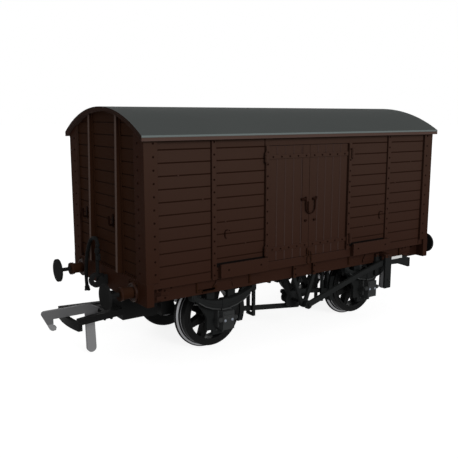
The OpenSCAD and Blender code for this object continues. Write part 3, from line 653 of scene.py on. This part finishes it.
PLANK_FACE = -15.6
STRAP_FACE = -15.85
HINGE_FACE = -15.75
POST_FACE = -16.0
CORNER_FACE = -16.0
BUMPER_FACE = -16.6
SOLE_FACE = -14.2
END_CORNER_FACE = -36.0
END_STRIP_FACE = -35.75
END_PLANK_FACE = -35.6
PLANK_PITCH = 2.184
PLANK_MIDDLES = [18.14 + PLANK_PITCH * row for row in range(11)]
PLANK_JOINTS = [17.05 + PLANK_PITCH * row for row in range(11)]
STRAP_X = 22.3
HINGES_Z = (36.9, 19.4)
SIDES = ("near", "far")
ENDS = ("left", "right")
SINK = 0.06
BEDDED = 0.02


# ---- Bolts of the body ----

def bolt(heading, radius=0.18, height=0.11):
    """Round-topped bolt head at the origin, sunk a little into what holds it."""
    return turned_part((0, 0, 0), heading, [
        (-SINK, radius), (height * 0.6, radius), (height, radius * 0.6)], sides=8)


def side_bolts():
    """Rows of bolts up the corner plates, straps, door posts and hinge straps of one side."""
    top_z = PLANK_MIDDLES[-1] + 0.95
    places = []
    for hand in (-1, 1):
        for height in PLANK_MIDDLES:
            places.append((hand * 34.25, CORNER_FACE, height))
            places.append((hand * STRAP_X, STRAP_FACE, height))
            places.append((hand * 10.6, POST_FACE, height))
        places.append((hand * STRAP_X, STRAP_FACE, top_z))
        places.append((hand * STRAP_X, STRAP_FACE, 16.3))
        for height in HINGES_Z:
            for board in (1.05, 3.08, 5.11, 7.13, 9.16):
                places.append((hand * board, HINGE_FACE, height))
    for x in (-19.7, -12.4, 13.1, 21.3):
        places.append((x, BUMPER_FACE, 17.1))
    return copies(bolt((0, -1, 0)), [
        place for place in places if abs(place[0]) != 10.6 or 17.6 < place[2] < 38.4])


def end_bolts():
    """Rows of bolts up the corner plates and stanchions of one end."""
    places = []
    for hand in (-1, 1):
        for height in PLANK_MIDDLES:
            places.append((END_CORNER_FACE, hand * 13.75, height))
            places.append((END_STRIP_FACE, hand * 5.9 + 0.8, height))
    return copies(bolt((-1, 0, 0)), places)


fit_pair(side_bolts(), "side_bolts", SIDES, BOLT_BROWN)
fit_pair(end_bolts(), "end_bolts", ENDS, BOLT_BROWN)


# ---- Doors ----

def door_beads():
    """Fine beads that cover the joints between the boards of both leaves."""
    beads = []
    for hand in (-1, 1):
        for board in range(1, 5):
            x = hand * (0.04 + board * 2.026)
            for low, high in ((17.2, 19.0), (19.8, 36.5), (37.3, 38.9)):
                beads.append(block(
                    (x - 0.13, PLANK_FACE - 0.05, low), (x + 0.13, PLANK_FACE + 0.12, high), 0.03))
    return joined(beads)


def hinge_knuckles():
    """Barrels of the door hinges on the two posts, with their pins and joints."""
    barrels = []
    for hand in (-1, 1):
        for height in HINGES_Z:
            low = height - 0.85
            barrels.append(turned_part((hand * 11.05, POST_FACE - 0.12, low), (0, 0, 1), [
                (-0.25, 0.16), (0, 0.2), (0, 0.36), (0.5, 0.36), (0.5, 0.3), (0.58, 0.3),
                (0.58, 0.36), (1.12, 0.36), (1.12, 0.3), (1.2, 0.3), (1.2, 0.36), (1.7, 0.36),
                (1.7, 0.2), (1.92, 0.14)], sides=12))
            barrels.append(block(
                (hand * 11.0 - 0.3, POST_FACE - 0.1, height + 0.3),
                (hand * 11.0 + 0.5, PLANK_FACE + BEDDED, height + 0.62), 0.05))
    return joined(barrels)


def door_latch():
    """Hanging drop bar between the leaves: a loop with two horns, its lug and keeper."""
    bar = 0.14
    y = PLANK_FACE - 0.32
    loop = rod((-1.02, y, 28.7), (0, 0, -1), bar, [
        (0, 0, -1.9), (180, (0.16, y, 26.8), (0, -1, 0)), (0, 0, 1.4)])
    left_horn = rod((-1.02, y, 28.15), (0, 0, 1), bar * 1.35, [(-0.1, 0, 0.45), (0.1, 0, 0.35)])
    right_horn = rod((1.34, y, 28.1), (0.3, 0, 1), bar * 1.3, [(0.22, 0, 0.25), (0.12, 0, 0.5)])
    lug = block((-2.2, y - 0.1, 28.25), (-1.0, PLANK_FACE + BEDDED, 28.75), 0.1)
    right_lug = block((0.75, y - 0.1, 28.2), (1.5, PLANK_FACE + BEDDED, 28.65), 0.1)
    tail = rod((-0.5, y, 28.0), (0, 0, -1), bar * 0.8, [(0.05, 0, -1.6), (0.2, 0, -0.5)])
    return joined([loop, left_horn, right_horn, lug, right_lug, tail])


def latch_pegs():
    """The two pegs below the latch that the drop bar swings down to."""
    pegs = []
    for x in (-1.0, 1.3):
        pegs.append(turned_part((x, PLANK_FACE, 24.25), (0, -1, 0), [
            (-SINK, 0.2), (0.2, 0.17), (0.2, 0.26), (0.3, 0.22)], sides=8))
        pegs.append(block(
            (x - 0.05, PLANK_FACE - 0.16, 24.15), (x + 0.55, PLANK_FACE + 0.03, 24.4), 0.05))
    return joined(pegs)


def door_foot_fastener():
    """Ring and hasp at the foot of the doors, above the sill."""
    y = PLANK_FACE - 0.25
    ring = rod((-0.35, y, 16.5), (0, 0, 1), 0.09, [
        (180, (0.2, y, 16.5), (0, 1, 0)), (0, 0, -0.5),
        (180, (0.2, y, 16.0), (0, 1, 0)), (0, 0, 0.46)])
    hasp = block((-0.5, y - 0.1, 17.4), (-0.25, HINGE_FACE + 0.05, 18.7), 0.06)
    hook = rod((0.1, y, 18.2), (0, 0, -1), 0.09, [
        (0, 0, -0.9), (150, (0.4, y, 17.3), (0, -1, 0))])
    link = rod((0.55, y, 17.9), (0.3, 0, -1), 0.08, [(0.3, 0, -1.0), (-0.25, 0, -0.5)])
    staple = block((-1.3, y + 0.02, 16.95), (-0.75, PLANK_FACE + 0.03, 17.2), 0.05)
    return joined([ring, hasp, hook, link, staple])


def middle_cover_strip():
    """Cover strip on the left leaf that the right leaf shuts against."""
    return joined([
        block((-1.95, PLANK_FACE - 0.06, 20.2), (-1.83, PLANK_FACE + 0.1, 38.85), 0.025),
        block((-0.06, PLANK_FACE - 0.02, 20.2), (0.02, PLANK_FACE + 0.2, 38.85), 0.02)])


fit_pair(door_beads(), "door_beads", SIDES, BEAD_BROWN)
fit_pair(hinge_knuckles(), "hinge_knuckles", SIDES, BODY_BROWN)
fit_pair(door_latch(), "door_latch", SIDES, LATCH_BROWN)
fit_pair(latch_pegs(), "latch_pegs", SIDES, LATCH_BROWN)
fit_pair(door_foot_fastener(), "door_foot_fastener", SIDES, BRACKET_BROWN)
fit_pair(middle_cover_strip(), "middle_cover_strip", SIDES, BOLT_BROWN)


# ---- Small fittings of the side planks ----

def brace_nuts():
    """Nuts of the inside brace, that come through beside the plank joints of a side."""
    joints = ((-29.4, 8), (-24.6, 6), (-19.8, 4), (-15.4, 2))
    places = [(x, PLANK_JOINTS[joint]) for x, joint in joints]
    nuts = []
    for x, z in places + [(-x, z) for x, z in places]:
        nuts.append(turned_part((x, PLANK_FACE, z), (0, -1, 0), [
            (-0.3, 0.2), (0.05, 0.2), (0.12, 0.13)], sides=6))
    return joined(nuts)


def label_clip(x):
    """Spring clip for a paper label."""
    y = PLANK_FACE - 0.12
    bow = rod((x + 0.35, y, 24.25), (-1, 0, 0), 0.09, [
        (-0.2, 0, 0), (90, (x + 0.15, y, 23.85), (0, -1, 0)), (0, 0, -0.7),
        (80, (x + 0.15, y, 23.15), (0, -1, 0))], sides=6)
    dot = turned_part((x + 0.75, PLANK_FACE, 24.1), (0, -1, 0), [
        (-SINK, 0.12), (0.07, 0.12), (0.1, 0.07)], sides=8)
    return joined([bow, dot])


def left_edge_shade_strips():
    """Dark strips along the left edges of the straps, posts and right corner plate: painted shade.
    """
    strips = []
    for x, low, high in ((-22.84, 15.7, 41.2), (-11.04, 17.4, 40.6), (10.12, 17.4, 39.0),
                         (21.76, 15.7, 41.2), (33.36, 15.7, 41.0)):
        strips.append(block(
            (x - 0.1, PLANK_FACE - 0.05, low), (x + 0.1, PLANK_FACE + 0.1, high), 0.02))
    return joined(strips)


def plank_joints():
    """Dark filler in the joints between the planks of a side, bay by bay."""
    proud, half_width = 0.012, 0.14
    fillers = []
    for height in PLANK_JOINTS:
        for left, right in ((-33.32, -22.95), (-21.7, -11.2), (11.1, 21.62), (22.9, 33.22)):
            fillers.append(block(
                (left, PLANK_FACE - proud, height - half_width),
                (right, PLANK_FACE + 0.12, height + half_width), 0.03, segments=1))
    return joined(fillers)


fit_pair(plank_joints(), "plank_joints", SIDES, JOINT_FILLER)
# Dark strips at the left edges of the straps and posts: painted shade.
fit_pair(left_edge_shade_strips(), "left_edge_shade_strips", SIDES, BOLT_BROWN)
fit_pair(brace_nuts(), "brace_nuts", SIDES, BODY_BROWN)
fit_pair(label_clip(-19.7), "label_clip_left", SIDES, BOLT_BROWN)
fit_pair(label_clip(20.2), "label_clip_right", SIDES, BOLT_BROWN)


# ---- Solebar fittings ----

def crown_plate(x0, x1):
    """Raised plate on the solebar over the middle of an axleguard, wider at its foot."""
    middle = (x0 + x1) / 2
    plate = block((x0, SOLE_FACE - 0.22, 13.15), (x1, SOLE_FACE + BEDDED, 15.0), 0.1)
    stretch_part(plate, lambda corner: corner.z > 14.3, (0.8, 1, 1), (middle, SOLE_FACE, 15.0))
    y = SOLE_FACE - 0.2
    parts = [plate]
    for x, hand in ((x0, 1), (x1, -1)):
        parts.append(rod((x - hand * 0.12, y, 13.3), (0, 0, 1), 0.13, [
            (62, (x + hand * 1.2, y, 13.4), (0, hand, 0))], sides=6))
    for left, right in ((x0 - 0.25, x0 + 0.3), (x1 - 0.3, x1 + 0.25)):
        parts.append(block(
            (left, SOLE_FACE - 0.15, 13.1), (right, SOLE_FACE + BEDDED, 13.45), 0.06))
    return joined(parts)


def sole_bracket(x, top, low):
    """Bracket of angle iron on the solebar, with a foot."""
    upright = block((x - 0.16, SOLE_FACE - 0.28, low), (x + 0.16, SOLE_FACE + BEDDED, top), 0.05)
    foot = block((x, SOLE_FACE - 0.2, low), (x + 0.55, SOLE_FACE + BEDDED, low + 0.3), 0.05)
    return joined([upright, foot])


def horse_hook():
    """Long rope hook on the solebar, on its two lugs."""
    y = SOLE_FACE - 0.4
    bar = rod((-24.2, SOLE_FACE + BEDDED, 13.5), (0, -1, 0), 0.14, [
        (0, -0.42, 0), (2.6, 0, 0), (0.35, 0, 0.25)])
    boss = turned_part((-21.3, SOLE_FACE, 13.75), (0, -1, 0), [
        (-BEDDED, 0.42), (0.3, 0.38), (0.3, 0.2), (0.42, 0.18)])
    eye = turned_part((-24.4, SOLE_FACE, 13.35), (0, -1, 0), [
        (-BEDDED, 0.34), (0.18, 0.34), (0.24, 0.26)])
    lip = block((-24.0, y, 13.0), (-21.2, SOLE_FACE + BEDDED, 13.16), 0.05)
    return joined([bar, boss, eye, lip])


def knee_plates():
    """Knee plates that tie the solebar to the headstocks."""
    plates = []
    for x0, x1, x2 in ((-33.3, -29.7, -30.9), (29.6, 32.0, 31.9)):
        plates.append(block((x0, SOLE_FACE - 0.2, 14.45), (x1, SOLE_FACE + BEDDED, 15.44), 0.09))
        plates.append(block((x0, SOLE_FACE - 0.2, 12.95), (x2, SOLE_FACE + BEDDED, 13.75), 0.09))
    return joined(plates)


def sole_bolts():
    """Bolts of the knee plates and brackets, the first with a washer."""
    plate_face = SOLE_FACE - 0.2
    washer = turned_part((-32.6, plate_face, 15.0), (0, -1, 0), [
        (-BEDDED, 0.4), (0.08, 0.4), (0.08, 0.2), (0.2, 0.2), (0.24, 0.12)])
    places = [(-30.4, 15.0), (-31.7, 14.64), (-31.6, 13.37),
              (31.6, 13.37), (30.5, 14.9), (32.6, 14.9)]
    heads = copies(bolt((0, -1, 0)), [(x, plate_face, z) for x, z in places])
    return joined([washer, heads])


fit_pair(joined([crown_plate(-21.4, -17.4), crown_plate(17.1, 21.6)]),
         "crown_plates", SIDES, BODY_BROWN)
fit_pair(joined([sole_bracket(-25.1, 15.3, 13.1), sole_bracket(-13.4, 15.3, 13.2),
                 sole_bracket(12.7, 15.3, 13.3), sole_bracket(28.6, 15.3, 13.2)]),
         "solebar_brackets", SIDES, BRACKET_BROWN)
fit_pair(horse_hook(), "horse_hook", SIDES, BRACKET_BROWN)
fit_pair(knee_plates(), "knee_plates", SIDES, BODY_BROWN)
fit_pair(sole_bolts(), "solebar_bolts", SIDES, BOLT_BROWN)


# ---- Ends ----

head_low, head_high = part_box("buffer_head_near_left")
BUFFER_Y, BUFFER_Z = [(a + b) / 2 / MM for a, b in zip(head_low[1:], head_high[1:])]


def lamp_irons():
    """Two lamp irons on an end: an upturned hook on a small plate."""
    irons = []
    for y in (9.4, -2.7):
        foot = END_PLANK_FACE - 0.5
        hook = rod((END_PLANK_FACE + 0.05, y, 24.95), (-1, 0, 0), 0.2, [
            (-0.5, 0, 0), (90, (foot, y, 25.3), (0, 1, 0)), (0, 0, 1.35)])
        plate = block((END_PLANK_FACE - 0.14, y - 0.35, 24.5),
                      (END_PLANK_FACE + 0.05, y + 0.35, 26.9), 0.05)
        irons += [hook, plate]
    return joined(irons)


def hose_bends(x, y, z, bends):
    """Moves of a bar that runs upright from a point and bends in turn by radius and degrees."""
    moves, lean = [], 0.0
    for radius, degrees in bends:
        hand = math.copysign(1, degrees)
        angle = math.radians(lean)
        centre = (y + hand * radius * math.cos(angle), z - hand * radius * math.sin(angle))
        moves.append((abs(degrees), (x, *centre), (-hand, 0, 0)))
        lean += degrees
        angle = math.radians(lean)
        y = centre[0] - hand * radius * math.cos(angle)
        z = centre[1] + hand * radius * math.sin(angle)
    return moves, y, z, (0, math.sin(angle), math.cos(angle))


def brake_hose():
    """Brake pipe with its tap and nut, and the hose that hangs from it to its coupling."""
    x, y, foot, bends_from, thick = -37.05, 1.85, 13.25, 17.5, 0.34
    moves, tip_y, tip_z, heading = hose_bends(
        x, y, bends_from, ((15, -12), (1.0, 102), (3.6, 55), (12, 35), (9, 12)))
    hose = rod((x, y, foot), (0, 0, 1), thick, [(0, 0, bends_from - foot)] + moves, sides=12)
    nut = turned_part((x, 1.72, 19.1), (0, -0.12, 1), [
        (0, thick), (0.06, 0.5), (0.85, 0.5), (0.95, 0.36)], sides=6)
    elbow = turned_part((x, 1.5, 20.4), (0, -0.2, 1), [
        (0, thick), (0.05, 0.43), (0.35, 0.43), (0.42, thick)])
    tap = block((x - 0.35, 0.8, 17.8), (x + 0.3, 1.7, 18.6), 0.1)
    plug = turned_part((x, 0.95, 18.5), (0, -0.6, 1), [(0, 0.22), (0.5, 0.22), (0.56, 0.15)])
    clip = block((x - 0.1, 1.5, 14.25), (END_CORNER_FACE + BEDDED, 2.2, 15.05), 0.08)
    coupling = turned_part((x, tip_y, tip_z), heading, [
        (-0.1, thick), (0.1, 0.46), (0.6, 0.5), (0.75, 0.58), (0.95, 0.54), (0.95, 0.3)], sides=12)
    lug = block((x - 0.2, tip_y - 1.0, tip_z - 0.85), (x + 0.2, tip_y - 0.3, tip_z - 0.5), 0.1)
    return joined([hose, nut, elbow, tap, plug, clip, coupling, lug])


def arm_teeth():
    """Small moulded teeth under the arm of a coupling loop, on its near side."""
    teeth = []
    for left, right in ((-38.45, -37.85), (-37.2, -36.5)):
        tooth = block((left, -3.48, 7.5), (right, -2.9, 8.0), 0.08)
        tip = ((left + right) / 2, -3.2, 7.5)
        stretch_part(tooth, lambda corner: corner.z < 7.7, (0.5, 1, 1), tip)
        teeth.append(tooth)
    return joined(teeth)


def buffer_rings():
    """Rounded front collar and base ring of both buffer housings of an end."""
    rings = []
    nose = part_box("buffer_socket_near_left")[0][0] / MM
    for y in (-BUFFER_Y, BUFFER_Y):
        rings.append(turned_part((nose, y, BUFFER_Z), (1, 0, 0), [
            (0.02, 0.9), (0.1, 1.14), (0.3, 1.24), (0.5, 1.14), (0.62, 0.9)], sides=24))
        rings.append(turned_part((END_CORNER_FACE, y, BUFFER_Z), (-1, 0, 0), [
            (-0.05, 1.72), (0.36, 1.72), (0.48, 1.64), (0.52, 1.5), (0.36, 1.3)], sides=24))
    return joined(rings)


def buffer_bolts():
    """Four bolts at the corners of each buffer's base."""
    places = []
    reach = 1.45
    for y in (-BUFFER_Y, BUFFER_Y):
        for across in (-reach, reach):
            for up in (-reach, reach):
                places.append((END_CORNER_FACE - 0.12, y + across, BUFFER_Z + up + 0.1))
    return copies(bolt((-1, 0, 0), 0.2, 0.16), places)


fit_pair(lamp_irons(), "lamp_irons", ENDS, BOLT_BROWN)
fit_pair(brake_hose(), "brake_hose", ENDS, FITTING_BLACK)
for end in ENDS:
    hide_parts("brake_pipe_" + end)
fit_pair(arm_teeth(), "arm_teeth", ENDS, COUPLER_BLACK)
fit_pair(buffer_rings(), "buffer_rings", ENDS, RING_BROWN)
fit_pair(buffer_bolts(), "buffer_bolts", ENDS, BOLT_BROWN)


# ---- Axleboxes, springs and axleguards ----

BOX_FACE = -15.5
SPRING_FACE = -14.35
SPRING_RADIUS = 9.19
SPRING_CENTRE_Z = 18.39


def cover_bolts():
    """Two bolts of each axlebox cover on a side, in a light bluish grey: painted highlight."""
    places = [(hand * AXLE_X + across, BOX_FACE, 7.3)
              for hand in (-1, 1) for across in (-0.78, 0.78)]
    return copies(bolt((0, -1, 0), 0.27, 0.16), places)


def axlebox_covers():
    """Raised front cover, filler cap and keep of each axlebox on a side."""
    parts = []
    for hand in (-1, 1):
        x = hand * AXLE_X
        parts.append(block(
            (x - 1.18, BOX_FACE - 0.08, 6.5), (x + 1.18, BOX_FACE + BEDDED, 8.2), 0.04))
        parts.append(block(
            (x - 1.0, BOX_FACE - 0.12, 8.35), (x + 1.0, BOX_FACE + BEDDED, 8.75), 0.05))
        parts.append(turned_part((x, BOX_FACE, 7.62), (0, -1, 0), [
            (-BEDDED, 0.24), (0.14, 0.24), (0.14, 0.15), (0.06, 0.12)]))
        for ear in (-1.75, 1.75):
            parts.append(turned_part((x + ear, -15.4, 7.5), (0, -1, 0), [
                (-BEDDED, 0.36), (0.08, 0.34), (0.08, 0.2), (0.18, 0.16)]))
        for across, height in ((-1.07, 4.9), (0.23, 4.45), (1.3, 4.9)):
            parts.append(turned_part((x + across, -13.0, height), (0, -1, 0), [
                (-BEDDED, 0.22), (0.14, 0.22), (0.2, 0.14)], sides=6))
    return joined(parts)


def leaf(x, radius, start, end, y, thickness):
    """One half of a spring's leaf on each side of its buckle, between two angles in degrees."""
    halves = []
    turn = math.radians(start)
    for way in (-1, 1):
        place = (x + way * radius * math.sin(turn), y, SPRING_CENTRE_Z - radius * math.cos(turn))
        heading = (-way * math.cos(turn), 0, -math.sin(turn))
        halves.append(rod(place, heading, thickness, [
            (start - end, (x, y, SPRING_CENTRE_Z), (0, way, 0))], sides=6))
    return halves


def leaf_edges():
    """Worn lower leaf of each spring, from its eyes to the buckle, and the buckle's bands."""
    parts = []
    for x in (-AXLE_X, AXLE_X):
        parts += leaf(x, SPRING_RADIUS, 39, 6, SPRING_FACE - 0.03, 0.11)
        parts.append(block((x - 0.97, -14.86, 9.12), (x + 0.97, -14.6, 9.4), 0.05))
    return joined(parts)


def spring_leaves():
    """Ends of the shorter leaves, stepped along each spring's face."""
    parts = []
    for x in (-AXLE_X, AXLE_X):
        for lift, reach in ((0.42, 27), (0.84, 34)):
            parts += leaf(x, SPRING_RADIUS - lift, reach, 5, SPRING_FACE + 0.03, 0.06)
    return joined(parts)


def spring_pins():
    """Pins through the spring eyes and shackles."""
    places = [(hand * AXLE_X + across, SPRING_FACE, 12.0)
              for hand in (-1, 1) for across in (-6.7, 6.7)]
    pin = turned_part((0, 0, 0), (0, -1, 0), [
        (-0.05, 0.3), (0.12, 0.3), (0.12, 0.18), (0.24, 0.14)])
    return copies(pin, places)


fit_pair(cover_bolts(), "cover_bolts", SIDES, BOLT_GLINT_GREY)
fit_pair(axlebox_covers(), "axlebox_covers", SIDES, BOX_BLACK)
fit_pair(leaf_edges(), "leaf_edges", SIDES, WORN_GREY)
fit_pair(spring_leaves(), "spring_leaves", SIDES, FITTING_BLACK)
fit_pair(spring_pins(), "spring_pins", SIDES, UNDERFRAME_BLACK)


# ---- Brake lever and guard ----

def lever_stripe():
    """Painted panel on the handle of the brake lever."""
    return block((23.75, -16.36, 13.32), (27.25, -16.26, 13.93), 0.03)


def guard_bolts():
    """Bolts of the lever guard's bracket, and its stop pin."""
    guard_x, guard_face = 22.15, -17.0
    heads = copies(bolt((0, -1, 0), 0.2, 0.12), [
        (20.7, SOLE_FACE - 0.8, 14.3), (20.7, SOLE_FACE - 0.8, 13.4), (guard_x, guard_face, 14.4)])
    pin = turned_part((guard_x, guard_face, 9.2), (0, -1, 0), [
        (-BEDDED, 0.2), (0.15, 0.2), (0.22, 0.12)])
    return joined([heads, pin])


def hanger_bolts():
    """Bolts of the V hanger's arms on the solebar."""
    return copies(bolt((0, -1, 0), 0.2, 0.12), [
        (-2.55, -14.8, 14.6), (2.55, -14.8, 14.6), (-2.4, -14.8, 13.4), (2.4, -14.8, 13.4)])


def shaft_nut():
    """Nut and washer on the end of the brake shaft."""
    return turned_part((0, -16.3, 7.1), (0, -1, 0), [
        (-0.05, 0.62), (0.12, 0.62), (0.12, 0.42), (0.4, 0.42), (0.48, 0.3)], sides=6)


fit_pair(lever_stripe(), "lever_stripe", SIDES, LEVER_WHITE)
fit_pair(guard_bolts(), "guard_bolts", SIDES, UNDERFRAME_BLACK)
fit_pair(hanger_bolts(), "hanger_bolts", SIDES, BOLT_BROWN)
fit_pair(shaft_nut(), "shaft_nut", SIDES, UNDERFRAME_BLACK)


# ---- Coupling pins ----

def pivot_caps():
    """Heads of the coupling's pivot pin on both sides of its block."""
    caps = []
    for hand in (-1, 1):
        caps.append(turned_part((HOOK_PIVOT_X, hand * 1.35, HOOK_PIVOT_Z), (0, hand, 0), [
            (-0.1, 0.42), (0.14, 0.42), (0.22, 0.3)]))
    return joined(caps)


fit_pair(pivot_caps(), "pivot_caps", ENDS, COUPLER_BLACK)


# ---- Floor, light and camera, in metres and radians ----

CAMERA_PLACE = (-0.0830, -0.10819, 0.04439)
CAMERA_DIP = 0.1761
CAMERA_TURN = 0.6047
LAMP_TARGET = (0, 0, 0.025)


def white_where_seen(tree, white, plain):
    """Shader that is white to the camera and in reflections, and plain for other light."""
    path = tree.nodes.new("ShaderNodeLightPath")
    seen = math_node(tree, "MAXIMUM", path.outputs["Is Camera Ray"], path.outputs["Is Glossy Ray"])
    seen = math_node(tree, "MAXIMUM", seen, path.outputs["Is Transmission Ray"])
    mix = tree.nodes.new("ShaderNodeMixShader")
    tree.links.new(seen, mix.inputs[0])
    tree.links.new(plain, mix.inputs[1])
    tree.links.new(white, mix.inputs[2])
    return mix.outputs[0]


def lay_floor():
    """Pale floor that glows enough to read as white and still takes a faint shadow."""
    floor = fresh("circle", vertices=64, radius=3, fill_type="NGON")
    floor.name = "studio_floor"
    material = bpy.data.materials.new("studio_floor_white")
    material.use_nodes = True
    tree = material.node_tree
    tree.nodes.clear()
    put = tree.nodes.new("ShaderNodeOutputMaterial")
    matt = tree.nodes.new("ShaderNodeBsdfDiffuse")
    matt.inputs["Color"].default_value = (0.3, 0.3, 0.3, 1)
    glow = tree.nodes.new("ShaderNodeEmission")
    glow.inputs["Strength"].default_value = 0.86
    both = tree.nodes.new("ShaderNodeAddShader")
    tree.links.new(matt.outputs[0], both.inputs[0])
    tree.links.new(glow.outputs[0], both.inputs[1])
    tree.links.new(white_where_seen(tree, both.outputs[0], matt.outputs[0]), put.inputs["Surface"])
    floor.data.materials.append(material)


def light_world():
    """White backdrop; the light it gives the model is low."""
    world = bpy.data.worlds.new("studio")
    bpy.context.scene.world = world
    world.use_nodes = True
    tree = world.node_tree
    tree.nodes.clear()
    put = tree.nodes.new("ShaderNodeOutputWorld")
    backdrop = tree.nodes.new("ShaderNodeBackground")
    backdrop.inputs["Color"].default_value = (1, 1, 1, 1)
    backdrop.inputs["Strength"].default_value = 1.0
    fill = tree.nodes.new("ShaderNodeBackground")
    fill.inputs["Color"].default_value = (1, 1, 1, 1)
    fill.inputs["Strength"].default_value = 0.5
    seen = white_where_seen(tree, backdrop.outputs[0], fill.outputs[0])
    tree.links.new(seen, put.inputs["Surface"])


def hang_lamp(name, place, target, size, power):
    """Soft square lamp aimed at a point."""
    lamp = bpy.data.lights.new(name, "AREA")
    lamp.size = size
    lamp.energy = power
    holder = bpy.data.objects.new(name, lamp)
    bpy.context.scene.collection.objects.link(holder)
    holder.location = place
    holder.rotation_euler = (Vector(target) - Vector(place)).to_track_quat("-Z", "Y").to_euler()


def stand_camera():
    """Camera low at the near left corner, with a 50 mm lens."""
    camera = bpy.data.cameras.new("camera")
    camera.lens = 50
    camera.sensor_width = 36
    camera.clip_start = 0.005
    holder = bpy.data.objects.new("camera", camera)
    bpy.context.scene.collection.objects.link(holder)
    holder.location = CAMERA_PLACE
    holder.rotation_euler = (math.pi / 2 - CAMERA_DIP, 0, -CAMERA_TURN)
    bpy.context.scene.camera = holder


lay_floor()
light_world()
hang_lamp("key_lamp", (-0.1, -1.13, 0.43), LAMP_TARGET, size=0.5, power=8.4)
hang_lamp("back_lamp", (0.55, 1.0, 0.3), LAMP_TARGET, size=0.9, power=4.5)
stand_camera()
bpy.context.scene.view_settings.view_transform = "Standard"
